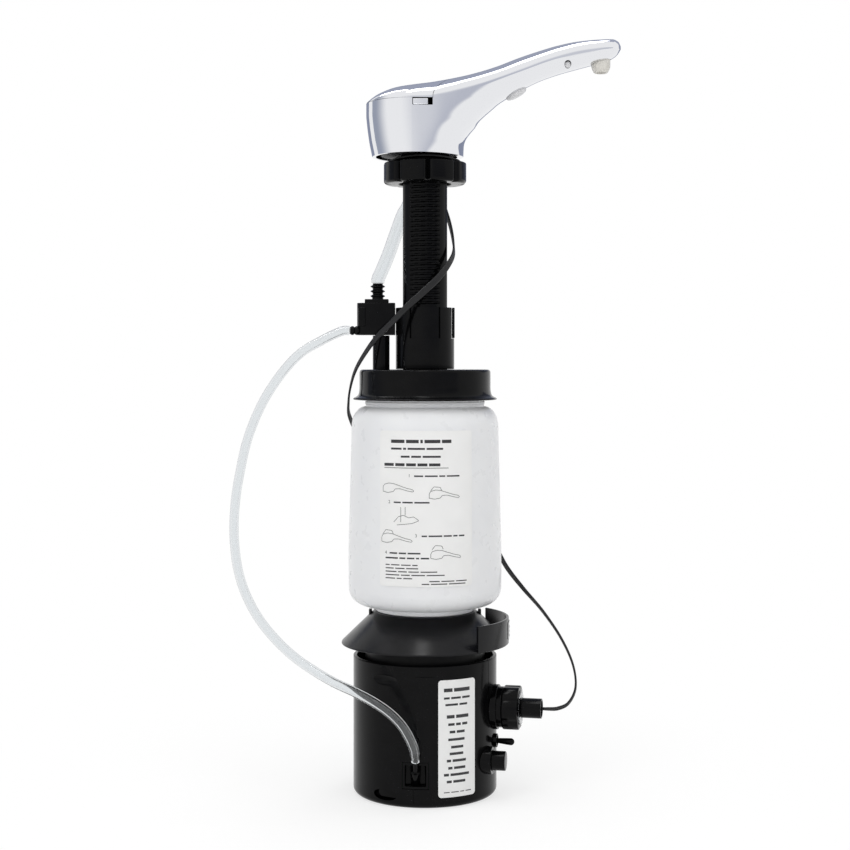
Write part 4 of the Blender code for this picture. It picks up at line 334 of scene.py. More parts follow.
def outward(turn, side, height):
    """Frame whose Z axis points out from the module at an angle, with X sideways and Y up."""
    out = Vector((math.cos(turn), math.sin(turn), 0))
    up = Vector((0, 0, 1))
    across = up.cross(out)
    rows = Matrix((across, up, out)).transposed().to_4x4()
    return Matrix.Translation(across * side + up * height) @ rows


def facing_out(points, faces):
    """Turn a closed shape's faces over if the volume that they enclose comes out negative.

    The volume is a sixth of the sum of a . (b x c) over the triangles a, b, c of the faces.
    """
    triangles = np.concatenate([faces[:, (0, k, k + 1)] for k in range(1, faces.shape[1] - 1)])
    a, b, c = (points[triangles[:, k]] for k in range(3))
    return points, (faces if np.sum(a * np.cross(b, c)) > 0 else faces[:, ::-1])


def mesh_from(name, shapes, closed=True):
    """One mesh of several shapes. Poles are merged, and each closed shape's faces point outwards."""
    if closed:
        shapes = [facing_out(*shape) for shape in shapes]
    points = np.concatenate([shape[0] for shape in shapes])
    starts = np.cumsum([0] + [len(shape[0]) for shape in shapes[:-1]])
    corners = np.concatenate([(shape[1] + start).ravel() for shape, start in zip(shapes, starts)])
    sizes = np.concatenate([np.full(len(shape[1]), shape[1].shape[1]) for shape in shapes])
    mesh = bpy.data.meshes.new(name)
    mesh.vertices.add(len(points))
    mesh.vertices.foreach_set("co", points.astype(np.float32).ravel())
    mesh.loops.add(len(corners))
    mesh.loops.foreach_set("vertex_index", corners.astype(np.int32))
    mesh.polygons.add(len(sizes))
    mesh.polygons.foreach_set("loop_start", (np.cumsum(sizes) - sizes).astype(np.int32))
    mesh.update(calc_edges=True)
    if not closed:
        return mesh
    bm = bmesh.new()
    bm.from_mesh(mesh)
    bmesh.ops.remove_doubles(bm, verts=bm.verts, dist=0.0005 * mm)
    bmesh.ops.delete(bm, geom=[edge for edge in bm.edges if not edge.link_faces], context="EDGES")
    bm.to_mesh(mesh)
    bm.free()
    return mesh


def guide(name, shapes):
    """An object for a Boolean, taken away once it has been used."""
    obj = bpy.data.objects.new(name, mesh_from(name, shapes))
    bpy.context.collection.objects.link(obj)
    return obj


def carved(name, shapes, cuts=(), kept=None):
    """Mesh of shapes with the cuts taken out and only what lies in kept left, by exact Booleans."""
    body = guide(name, shapes)
    tools = []
    for operation, tool in [("INTERSECT", kept)] * (kept is not None) + [("DIFFERENCE", c) for c in cuts]:
        tools.append(guide("tool", [tool]))
        modifier = body.modifiers.new("cut", "BOOLEAN")
        modifier.operation, modifier.solver, modifier.object = operation, "EXACT", tools[-1]
    view = bpy.context.evaluated_depsgraph_get()
    mesh = bpy.data.meshes.new_from_object(body.evaluated_get(view), depsgraph=view)
    for obj in [body] + tools:
        bpy.data.objects.remove(obj)
    mesh.name = name
    return mesh


def piece(name, made, finish, body=dispenser, replaces=(), crease=32.0):
    """Make a finished piece: smooth shaded up to a crease angle, riding on its body."""
    mesh = made if isinstance(made, bpy.types.Mesh) else mesh_from(name, made)
    mesh.materials.clear()
    mesh.materials.append(finish)
    mesh.shade_smooth()
    mesh.set_sharp_from_angle(angle=math.radians(crease))
    obj = bpy.data.objects.new(name, mesh)
    bpy.context.collection.objects.link(obj)
    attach(obj, body)
    if replaces:
        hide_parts(*replaces)
    return obj


def dress(nodes, finish):
    """Give CAD nodes that stay a better material."""
    for name in nodes:
        for holder in frame["nodes"][name].material_slots:
            holder.material = finish


def hexcode(code):
    """Linear colour from an sRGB hex value."""
    parts = np.array([int(code[k:k + 2], 16) for k in (1, 3, 5)]) / 255
    linear = np.where(parts <= 0.04045, parts / 12.92, ((parts + 0.055) / 1.055) ** 2.4)
    return (*linear.tolist(), 1.0)


def add_node(tree, kind, links=None, values=None, **settings):
    """Add a node: its settings, the values of its inputs, and the sockets that feed its inputs."""
    node = tree.nodes.new(kind)
    for key, value in settings.items():
        setattr(node, key, value)
    for key, value in (values or {}).items():
        node.inputs[key].default_value = value
    for key, socket in (links or {}).items():
        tree.links.new(socket, node.inputs[key])
    return node


def new_material(name, **sockets):
    """A material whose shader's own sockets hold the given constants."""
    material = bpy.data.materials.new(name)
    material.use_nodes = True
    tree = material.node_tree
    shader = tree.nodes["Principled BSDF"]
    for key, value in sockets.items():
        shader.inputs[key.replace("_", " ")].default_value = value
    material.diffuse_color = shader.inputs["Base Color"].default_value
    return material, tree, shader


def object_noise(tree, size, detail=3.0, roughness=0.5, stretch=(1, 1, 1)):
    """Noise on Object coordinates whose bumps are about as large as the given size."""
    where = add_node(tree, "ShaderNodeTexCoord")
    scaled = add_node(tree, "ShaderNodeMapping", {"Vector": where.outputs["Object"]}, {"Scale": stretch})
    return add_node(tree, "ShaderNodeTexNoise", {"Vector": scaled.outputs["Vector"]},
                    {"Scale": 1 / size, "Detail": detail, "Roughness": roughness})


def spread(tree, noise, low, high):
    """Noise stretched over a range of values."""
    return add_node(tree, "ShaderNodeMapRange", {"Value": noise.outputs["Fac"]},
                    {"From Min": 0.3, "From Max": 0.7, "To Min": low, "To Max": high}).outputs["Result"]


def tint(tree, noise, first, second):
    """Colour that drifts between two close hex colours."""
    ramp = add_node(tree, "ShaderNodeValToRGB", {"Fac": noise.outputs["Fac"]})
    ramp.color_ramp.elements[0].position, ramp.color_ramp.elements[0].color = 0.35, hexcode(first)
    ramp.color_ramp.elements[1].position, ramp.color_ramp.elements[1].color = 0.65, hexcode(second)
    return ramp.outputs["Color"]


def bump(tree, shader, noise, height, strength=1.0):
    """Bump of a real height in metres from a noise."""
    node = add_node(tree, "ShaderNodeBump", {"Height": noise.outputs["Fac"]},
                    {"Distance": height, "Strength": strength})
    tree.links.new(node.outputs["Normal"], shader.inputs["Normal"])
    return node


def textured(name, colour, tints=None, gloss=None, relief=None, **sockets):
    """A material whose colour drifts, whose roughness varies and whose surface is uneven.

    Each of the three starts with its noise's size. Then tints has two close colours, gloss the ends
    of the roughness, and relief a height and a strength. A last number is the noise's detail.
    """
    material, tree, shader = new_material(name, Base_Color=hexcode(colour), **sockets)
    if tints:
        size, first, second, *detail = tints
        tree.links.new(tint(tree, object_noise(tree, size, *detail), first, second),
                       shader.inputs["Base Color"])
    if gloss:
        size, low, high, *detail = gloss
        tree.links.new(spread(tree, object_noise(tree, size, *detail), low, high),
                       shader.inputs["Roughness"])
    if relief:
        size, height, strength, *detail = relief
        bump(tree, shader, object_noise(tree, size, *detail), height, strength)
    return material


def make_materials():
    """Every finish of the dispenser, by a short name."""
    made = {
        # Bright chrome on a polished casting: mirror like, with the long soft ripple that buffing leaves
        "chrome": textured(
            "bright_chrome_plate", "#E6E7EA", gloss=(14 * mm, 0.035, 0.08),
            relief=(26 * mm, 0.02 * mm, 0.6, 1.0), Metallic=1.0, Roughness=0.05),
        # Black ABS from a polished mould: deep black, glossy, with faint flow marks in its gloss
        "black": textured(
            "glossy_black_abs", "#070708", (9 * mm, "#060607", "#0A0A0B"), (5 * mm, 0.12, 0.2, 4.0),
            (1.1 * mm, 0.006 * mm, 0.6, 2.0), Roughness=0.16, IOR=1.2),
        # The same ABS on the drip cone, from a mould that was only stoned: a broad, even sheen
        "cone": textured(
            "satin_black_abs", "#0A0A0C", (9 * mm, "#08080A", "#0D0D10"), (5 * mm, 0.21, 0.27, 4.0),
            (0.9 * mm, 0.004 * mm, 0.5, 2.0), Roughness=0.24, IOR=1.32),
        # Black ABS with a spark eroded grain, drawn at 0.5 mm so that it shows: it softens the gloss
        "grained": textured(
            "grained_black_abs", "#090909", (12 * mm, "#070707", "#0C0C0C"), (4 * mm, 0.3, 0.42, 4.0),
            (0.5 * mm, 0.02 * mm, 0.5, 2.0), Roughness=0.36, IOR=1.22),
        # Moulded EPDM rubber: charcoal, matt, with a light bloom
        "rubber": textured(
            "black_epdm_rubber", "#111111", (3 * mm, "#0D0D0D", "#191918", 4.0),
            relief=(0.8 * mm, 0.02 * mm, 0.5), Roughness=0.55, IOR=1.35),
        # PVC jacket of the flat lead: black with a soft sheen along its ribs
        "jacket": textured(
            "black_pvc_jacket", "#141416", gloss=(4 * mm, 0.24, 0.4),
            relief=(1.2 * mm, 0.01 * mm, 0.5), Roughness=0.25, IOR=1.42),
        # Blow moulded HDPE: milky white with a waxy gloss, a little light passing into its wall, and
        # the shallow waviness of a blown wall
        "bottle": textured(
            "milky_blown_hdpe", "#F3F4F5", (30 * mm, "#F1F2F4", "#F4F5F6"), (8 * mm, 0.25, 0.36, 4.0),
            (24 * mm, 0.015 * mm, 0.5, 1.0), Roughness=0.3, Subsurface_Weight=0.15,
            Subsurface_Scale=2.0 * mm, Subsurface_Radius=(1.0, 0.95, 0.9)),
        # White polyester label film with its clear overlaminate
        "label": textured(
            "white_label_film", "#F6F6F5", (22 * mm, "#F3F3F2", "#F8F8F7"),
            relief=(2.5 * mm, 0.008 * mm, 0.4), Roughness=0.38, Coat_Weight=0.15),
        # Grey black print ink on the labels
        "ink": textured("label_print_ink", "#2A2A2C", (1.0 * mm, "#232325", "#38383A"), Roughness=0.55),
        # Grey vinyl dot: matt film with a faint mottle
        "dot": textured("grey_vinyl_dot", "#77777A", (2 * mm, "#6F6F72", "#808083"), Roughness=0.5),
        # Acetal nozzle: off-white, waxy
        "cream": textured(
            "cream_acetal", "#E4E1DA", (4 * mm, "#E0DDD5", "#E8E5DE"),
            relief=(1.5 * mm, 0.003 * mm, 0.4), Roughness=0.36),
        # Polycarbonate sensor window: cloudy white
        "lens": textured(
            "cloudy_polycarbonate", "#E6E6E8", gloss=(3 * mm, 0.06, 0.16), Roughness=0.1, IOR=1.585),
        # Grey glass filled nylon of the pump: dull, lightly mottled
        "nylon": textured(
            "grey_filled_nylon", "#4C4D50", (1.5 * mm, "#434447", "#56575A", 5.0),
            relief=(0.6 * mm, 0.015 * mm, 0.5), Roughness=0.55),
        # Circuit board: green solder mask over a faint weave
        "board": textured("green_solder_mask", "#1E5B35", (1.2 * mm, "#1A5230", "#23663C"), Roughness=0.4),
        # Printed shrink sleeve of the cells: green over steel
        "cell": textured(
            "printed_cell_sleeve", "#2E7D46", (5 * mm, "#2A7440", "#33884D"), Roughness=0.28,
            Coat_Weight=0.3),
    }

    # Clear PVC tubing: see-through walls with a greasy gloss, darker where a ray passes through more
    # of the wall
    made["clear"] = textured(
        "clear_pvc_tubing", "#F4F6F7", gloss=(6 * mm, 0.0, 0.03), Roughness=0.01, IOR=1.45,
        Transmission_Weight=1.0)
    tree = made["clear"].node_tree
    haze = add_node(tree, "ShaderNodeVolumeAbsorption", values={"Color": hexcode("#C3C6C9"), "Density": 90.0})
    tree.links.new(haze.outputs["Volume"], tree.nodes["Material Output"].inputs["Volume"])

    # Brushed steel: fine streaks along one way, drawn at 0.4 mm so that they show
    made["steel"], tree, shader = new_material(
        "brushed_stainless_steel", Base_Color=hexcode("#B9BBBF"), Metallic=1.0, Roughness=0.3)
    streaks = object_noise(tree, 0.4 * mm, 2.0, stretch=(1, 1, 0.05))
    tree.links.new(spread(tree, streaks, 0.24, 0.4), shader.inputs["Roughness"])
    bump(tree, shader, streaks, 0.004 * mm, 0.5)
    return made


def make_studio():
    """Level camera at the photograph's place, white surroundings, soft lamps and a white floor.

    The floor keeps its shadow near the object and fades to plain white away from it.
    """
    camera = bpy.data.cameras.new("camera")
    camera.sensor_fit = "HORIZONTAL"
    camera.angle = 2 * math.atan(photo_width / 2 / photo_pixels_away)
    camera.shift_y = (photo_horizon - photo_width / 2) / photo_width
    camera.clip_start = 0.01
    holder = bpy.data.objects.new("camera", camera)
    holder.location = (0, -photo_pixels_away * photo_scale, camera_height)
    holder.rotation_euler = (math.pi / 2, 0, 0)
    bpy.context.collection.objects.link(holder)
    bpy.context.scene.camera = holder
    bpy.context.scene.view_settings.view_transform = "Standard"

    world = bpy.data.worlds.new("white_room")
    world.use_nodes = True
    bpy.context.scene.world = world
    tree = world.node_tree
    seen = seen_directly(tree)
    strength = add_node(tree, "ShaderNodeMapRange", {"Value": seen}, {"To Min": 0.62, "To Max": 1.0})
    background = tree.nodes["Background"]
    background.inputs["Color"].default_value = (1, 1, 1, 1)
    tree.links.new(strength.outputs["Result"], background.inputs["Strength"])

    grid = np.zeros((2, 2, 3))
    grid[:, :, 0] = ((-4, 4), (-4, 4))
    grid[:, :, 1] = ((-4, -4), (4, 4))
    points, quads = grid_shape(grid, wrap_columns=False)
    mesh = bpy.data.meshes.new("pale_floor")
    mesh.from_pydata(points.tolist(), [], quads.tolist())
    floor = bpy.data.objects.new("pale_floor", mesh)
    bpy.context.collection.objects.link(floor)
    paint = bpy.data.materials.new("white_floor_paint")
    paint.use_nodes = True
    tree = paint.node_tree
    tree.nodes.remove(tree.nodes["Principled BSDF"])
    plain = add_node(tree, "ShaderNodeBsdfDiffuse", values={"Color": hexcode("#E8E8E8")})
    shaded = add_node(tree, "ShaderNodeBsdfDiffuse", values={"Color": hexcode("#A8A8A8")})
    glow = add_node(tree, "ShaderNodeEmission", values={"Color": (1, 1, 1, 1), "Strength": 0.66})
    bright = add_node(tree, "ShaderNodeAddShader")
    tree.links.new(shaded.outputs[0], bright.inputs[0])
    tree.links.new(glow.outputs[0], bright.inputs[1])
    where = add_node(tree, "ShaderNodeTexCoord")
    away = add_node(tree, "ShaderNodeVectorMath", {0: where.outputs["Object"]}, operation="LENGTH")
    fade = add_node(tree, "ShaderNodeMapRange", {"Value": away.outputs["Value"]},
                    {"From Min": 0.09, "From Max": 0.34}, interpolation_type="SMOOTHSTEP")
    white = add_node(tree, "ShaderNodeEmission", values={"Color": (1, 1, 1, 1), "Strength": 1.0})
    backdrop = add_node(tree, "ShaderNodeMixShader", {"Fac": fade.outputs["Result"]})
    tree.links.new(bright.outputs[0], backdrop.inputs[1])
    tree.links.new(white.outputs[0], backdrop.inputs[2])
    mix = add_node(tree, "ShaderNodeMixShader", {"Fac": seen_directly(tree)})
    tree.links.new(plain.outputs[0], mix.inputs[1])
    tree.links.new(backdrop.outputs[0], mix.inputs[2])
    tree.links.new(mix.outputs[0], tree.nodes["Material Output"].inputs["Surface"])
    mesh.materials.append(paint)

    for name, at, aim, size, power, shown in (
            ("overhead_softbox", (0.05, -0.02, 1.75), (0, 0, 0.3), (1.5, 0.26), 5.5, True),
            ("front_left_softbox", (-0.95, -1.15, 0.85), (0, 0, 0.3), (0.5, 1.1), 5.0, True),
            ("front_right_softbox", (1.1, -0.9, 0.6), (0, 0, 0.3), (0.4, 1.1), 2.5, True),
            ("upper_left_strip", (-0.5, 0.3, 1.45), (0, 0, 0.12), (0.09, 0.8), 2.2, False)):
        lamp = bpy.data.lights.new(name, "AREA")
        lamp.shape, lamp.size, lamp.size_y, lamp.energy = "RECTANGLE", size[0], size[1], power
        holder = bpy.data.objects.new(name, lamp)
        holder.location = at
        holder.rotation_euler = (Vector(at) - Vector(aim)).to_track_quat("Z", "Y").to_euler()
        holder.visible_diffuse = shown
        holder.visible_transmission = False
        holder.visible_glossy = not name.startswith("front")
        bpy.context.collection.objects.link(holder)

    behind = np.array(((-0.6, 0.62, 0.42), (-0.6, 0.62, 1.95), (-0.6, 0.12, 1.95)))
    left = np.array(((-0.72, 0.35, 0.1), (-0.88, -0.05, 0.1), (-0.9, -0.5, 0.1)))
    front_low = np.array(((-1.6, -2.2, 0.0), (-1.6, -2.2, 1.7)))
    for name, line, run, first, last, axis, start, end in (
            ("grey_card_behind", behind, (1.7, 0, 0), "#8E94A8", "#A9AEC0", 2, 0.42, 1.2),
            ("grey_card_left", left, (0, 0, 1.0), "#A3A9B8", "#FFFFFF", 1, 0.2, -0.45),
            ("grey_card_front", front_low, (5.2, 0, 0), "#C6C9D4", "#FFFFFF", 2, 0.85, 1.6)):
        grid = np.stack((line, line + np.array(run)), axis=1)
        points, quads = grid_shape(grid, wrap_columns=False)
        mesh = bpy.data.meshes.new(name)
        mesh.from_pydata(points.tolist(), [], quads.tolist())
        card = bpy.data.objects.new(name, mesh)
        bpy.context.collection.objects.link(card)
        finish = bpy.data.materials.new(name)
        finish.use_nodes = True
        tree = finish.node_tree
        tree.nodes.remove(tree.nodes["Principled BSDF"])
        where = add_node(tree, "ShaderNodeTexCoord")
        parts = add_node(tree, "ShaderNodeSeparateXYZ", {"Vector": where.outputs["Object"]})
        along = add_node(tree, "ShaderNodeMapRange", {"Value": parts.outputs[axis]},
                         {"From Min": start, "From Max": end}, interpolation_type="SMOOTHSTEP")
        if name == "grey_card_front":
            aside = add_node(tree, "ShaderNodeMapRange", {"Value": parts.outputs[0]},
                             {"From Min": 1.6, "From Max": -1.5}, interpolation_type="SMOOTHSTEP")
            below = add_node(tree, "ShaderNodeMapRange", {"Value": parts.outputs[2]},
                             {"From Min": 0.42, "From Max": 0.0}, interpolation_type="SMOOTHSTEP")
            for fading in (aside, below):
                along = add_node(tree, "ShaderNodeMath", {0: along.outputs[0], 1: fading.outputs[0]},
                                 operation="MAXIMUM")
        colour = add_node(tree, "ShaderNodeMix", {"Factor": along.outputs[0]}, data_type="RGBA")
        colour.inputs[6].default_value, colour.inputs[7].default_value = hexcode(first), hexcode(last)
        glow = add_node(tree, "ShaderNodeEmission", {"Color": colour.outputs[2]})
        tree.links.new(glow.outputs[0], tree.nodes["Material Output"].inputs["Surface"])
        mesh.materials.append(finish)
        card.visible_camera = card.visible_diffuse = card.visible_shadow = False
        card.visible_transmission = False


def seen_directly(tree):
    """One for camera, glossy and transmission rays, nought for the rest."""
    rays = add_node(tree, "ShaderNodeLightPath")
    either = add_node(tree, "ShaderNodeMath", operation="MAXIMUM")
    tree.links.new(rays.outputs["Is Camera Ray"], either.inputs[0])
    tree.links.new(rays.outputs["Is Glossy Ray"], either.inputs[1])
    any_ray = add_node(tree, "ShaderNodeMath", operation="MAXIMUM")
    tree.links.new(either.outputs[0], any_ray.inputs[0])
    tree.links.new(rays.outputs["Is Transmission Ray"], any_ray.inputs[1])
    return any_ray.outputs[0]


def make_tubes(finish):
    """The two clear tubes, which are free cords, and the tubes inside."""
    for name, route, radius, bore, exit_point in (
            ("foam_tube", foam_tube_route[::-1], 4.6, 3.0, foam_tube_route[-1]),
            ("soap_tube", soap_tube_route, 3.2, 1.9, soap_tube_route[0])):
        path = even_route(route, 2.0 * mm)
        tube = piece(f"clear_{name}", [tube_shape(path, radius * mm, bore * mm)], finish["clear"],
                     replaces=(name,))
    for name, route, radius, bore in (("soap_line", inner_line_route, 3.2, 1.9),
                                      ("foam_line", foam_line_route, 2.6, 1.6)):
        path = even_route(route, 2.0 * mm)
        piece(f"inner_{name}", [tube_shape(path, radius * mm, bore * mm, 24)], finish["clear"],
              replaces=(name,))


def make_cable(finish, plug_pieces):
    """Flat ribbed lead: four cores side by side, whose last part splits into two round wires."""
    path = even_route(cable_route, 2.0 * mm)
    leaves = int(np.argmax(path[:, 2] < 415 * mm))
    split = 9
    inner, flat = path[:leaves + 1], path[leaves:-split]
    across = np.linspace(-1, 1, 25)
    half = 0.75 * mm * (0.72 + 0.28 * np.abs(np.cos(2 * math.pi * (across + 1) - math.pi / 2)) ** 0.6)
    half = half * np.sqrt(np.maximum(1 - np.abs(across) ** 8, 0.0))
    wide = 2.25 * mm * across
    section = np.concatenate((np.stack((wide, half), axis=1), np.stack((wide, -half), axis=1)[::-1][1:-1]))

    def ribbon(line):
        return lofted(swept(line, section, line * (1, 1, 0) / np.linalg.norm(line[:, :2], axis=1)[:, None]))

    piece("inner_sensor_cable", [ribbon(inner)], finish["jacket"], replaces=("sensor_cable",))
    tail = path[-split - 2:]
    tangent = tail[1] - tail[0]
    broad = np.cross(tangent, tail[0] * (1, 1, 0))
    broad = broad / np.linalg.norm(broad)
    bow = np.sin(math.pi * np.linspace(0, 1, len(tail)))[:, None]
    wires = [tube_shape(tail + broad * side * (1.15 * mm + 1.1 * mm * bow), 0.75 * mm, sides=16)
             for side in (-1, 1)]
    cable = piece("flat_sensor_cable", [ribbon(flat)] + wires, finish["jacket"],
                  replaces=("sensor_cable",))


def left_edge(height):
    share = (height - deck_height) / (seam_height - deck_height)
    return tail_lean * smooth_line(tail_lean_line, share) - tail_reach


def right_edge(height):
    swapped = [(rise, share) for share, rise in under_line]
    return spout_length * smooth_line(swapped, (height - deck_height) / spout_rise) - tail_reach


def outline_height(table, x):
    return deck_height + spout_rise * smooth_line(table, (x + tail_reach) / spout_length)


def tail_bottom(x):
    """Height at which the leaning tail passes a place: the left edge's line read the other way."""
    heights = np.linspace(deck_height, seam_height, 400)
    return np.interp(-x, -left_edge(heights), heights)


def side_width(x, height, crest, inset=0.0):
    """Half width of the side wall at or below its crest.

    Behind its middle each level is a circle: W sqrt(1 - ((m - x) / (m - left))^2). In front it is
    w(x) sqrt(1 - u^p) with u = (x - m) / (right - m), where p grows from 2 at the foot to 6 at the
    seam, divided by the same at the crest so that the crest has the plan's full width.
    """
    share = np.clip((height - deck_height) / (seam_height - deck_height), 0, 1)
    middle = boss_foot_centre + (boss_top_centre - boss_foot_centre) * share
    widest = boss_foot_radius + (boss_top_radius - boss_foot_radius) * share
    across = (middle - x) / (middle - left_edge(height) - inset)
    nose = x + inset * nose_share
    behind = (widest - inset) * np.sqrt(np.maximum(1 - across ** 2, 0))
    power = 2.0 + 4.0 * share
    here = np.clip((nose - middle) / (right_edge(height) - middle), 0, 1)
    there = np.clip((nose - middle) / (right_edge(crest) - middle), 0, 1)
    fullness = np.sqrt((1 - here ** power) / np.maximum(1 - there ** 6.0, 0.01))
    plan = boss_top_radius * smooth_line(arm_width, (x + tail_reach) / spout_length)
    ahead = np.maximum(plan * widest / boss_top_radius - inset, seam_gap) * np.minimum(fullness, 1)
    return np.where(x < middle, behind, ahead)


def spout_form(stations, inset, side_rows, crown_rows):
    """Closed form of the spout: a ring of points across it at each station along X.

    Each ring climbs the side from its foot to the crest, then crosses the crown as a superellipse
    of power 2.4, and comes down the other side.
    """
    x = np.asarray(stations)[:, None]
    crest = np.maximum(outline_height(edge_line, x), deck_height)
    top = outline_height(top_line, x)
    foot = spout_length * under_line[0][0] - tail_reach
    floor = deck_height - (1.0 * mm if inset else 0.0)
    low = np.where(x - inset < left_edge(np.array(deck_height)), tail_bottom(x - inset), floor)
    nose = x + inset * nose_share
    low = np.where(nose > foot, outline_height(under_line, nose) + inset / 2, low)
    k = np.linspace(0, 1, side_rows)[None]
    level = low + (crest - low) * (1 - np.cos(math.pi / 2 * k))
    width = side_width(x, level, crest, inset)
    turn = np.linspace(0, math.pi / 2, crown_rows)[None, 1:]
    widest = side_width(x, crest, crest, inset)
    crown_width = widest * np.cos(turn) ** (2 / 2.4)
    crown_width[:, -1] = 0
    crown = crest + (top - inset - crest) * np.sin(turn) ** (2 / 2.4)
    half = np.concatenate((width, crown_width), axis=1)
    height = np.concatenate((level, crown), axis=1)
    near = np.stack((np.broadcast_to(x, half.shape), half, height), axis=-1)
    far = near[:, ::-1][:, 1:] * (1, -1, 1)
    return lofted(np.concatenate((near, far), axis=1))


def spout_stations(inset, tail_count, side_step, arm_step):
    """Places along the spout: even round the tail, close where the foot rises, then even."""
    reach = tail_reach + boss_top_centre - inset
    tail = boss_top_centre - reach * np.cos(np.linspace(0.02, math.pi / 2, tail_count, endpoint=False))
    nose = inset * nose_share
    foot = spout_length * under_line[0][0] - tail_reach - nose
    root = foot - np.geomspace(foot - boss_top_centre, 0.15 * mm, round(34 * mm / side_step))
    rise = right_edge(np.arange(deck_height + 0.4 * mm, deck_height + 36 * mm, side_step)) - nose
    arm = np.arange(rise[-1] + arm_step, spout_length - tail_reach - 9 * mm - nose, arm_step)
    end = spout_length - tail_reach - nose
    tip = end - (end - arm[-1]) * (1 - np.sin(np.linspace(0, math.pi / 2, 16)[1:]))
    tip[-1] = end - 0.02 * mm
    return np.concatenate((tail, root, rise, arm, tip))


def make_spout(finish):
    """Chromed shell and fill lid: one outer form and one hollow, split along the lid's seam."""
    outer = spout_form(spout_stations(0.0, 60, 0.9 * mm, 1.6 * mm), 0.0, 30, 26)
    hollow = spout_form(spout_stations(spout_wall, 26, 2.6 * mm, 5 * mm), spout_wall, 12, 10)
    column = turned(((0, 0.452), (4.6 * mm, 0.452), (4.6 * mm, 0.53), (0, 0.53)), 32,
                    Matrix.Translation((lid_pin_x, lid_pin_y, 0)))

    def lid_outline(shrink):
        """Plan of the lid's cut: an arc across the arm's root, open to the back."""
        front_arc = arc((lid_front - lid_arc_radius, 0), lid_arc_radius - shrink, -1.4, 1.4, 90)
        return np.vstack((front_arc, ((-80 * mm, 48 * mm), (-80 * mm, -48 * mm))))

    hollow_mesh = carved("hollow", [hollow], [column])
    hollow = mesh_shape(hollow_mesh)
    lens_frame, light_frame = lens_place(), light_place()
    pin_hole = turned(((0, 0.4557), (2.3 * mm, 0.4557), (2.3 * mm, 0.4755), (0, 0.4755)), 32,
                      Matrix.Translation((lid_pin_x, lid_pin_y, 0)))
    notch = box((-8.5 * mm, -33 * mm, 467.6 * mm), (5.2 * mm, -27 * mm, 473.4 * mm), 0.5 * mm)
    nozzle_hole = turned(((0, 0.4942), (6.8 * mm, 0.4942), (6.8 * mm, 0.508), (0, 0.508)), 48,
                         Matrix.Translation((121.3 * mm, 0, 0)))
    lens_hole = extruded(circle(1.0, 48) * (7.9 * mm, 5.7 * mm), -7.5 * mm, 4.0 * mm, 0.0, lens_frame)
    light_hole = turned(((0, -5 * mm), (2.4 * mm, -5 * mm), (2.4 * mm, 4 * mm), (0, 4 * mm)), 32, light_frame)
    lid_space = extruded(lid_outline(0.0), seam_height, 0.53)
    lid_form = extruded(lid_outline(seam_gap), seam_height + seam_gap, 0.53)
    shell = carved("chrome_spout", [outer],
                   [hollow, lid_space, pin_hole, notch, nozzle_hole, lens_hole, light_hole])
    piece("chrome_spout", shell, finish["chrome"], replaces=("spout_shell",), crease=38)
    lid = carved("chrome_lid", [outer], [hollow, pin_hole], kept=lid_form)
    piece("chrome_lid", lid, finish["chrome"], "lid", ("fill_lid",), crease=38)

    latch = box((-8.2 * mm, -31.4 * mm, 467.9 * mm), (2.0 * mm, -27.4 * mm, 472.1 * mm), 0.4 * mm)
    piece("key_latch", [latch], finish["chrome"], "latch", ("lid_latch",))


def mesh_shape(mesh):
    """Points and triangles of a mesh, as arrays."""
    mesh.calc_loop_triangles()
    points = np.zeros(len(mesh.vertices) * 3)
    mesh.vertices.foreach_get("co", points)
    corners = np.zeros(len(mesh.loop_triangles) * 3, dtype=np.int32)
    mesh.loop_triangles.foreach_get("vertices", corners)
    return points.reshape(-1, 3), corners.reshape(-1, 3)


def lens_place():
    tilt = math.radians(28.8)
    along = Vector((math.cos(tilt), 0, math.sin(tilt)))
    out = Vector((math.sin(tilt), 0, -math.cos(tilt)))
    rows = Matrix((along, out.cross(along), out)).transposed().to_4x4()
    return Matrix.Translation((62.7 * mm, 0, float(outline_height(under_line, 62.7 * mm)))) @ rows


def light_place():
    x, height = 97.6 * mm, 498.6 * mm
    face = float(side_width(x, height, outline_height(edge_line, x)))
    return Matrix.Translation((x, -face, height)) @ Matrix.Rotation(math.pi / 2, 4, "X")


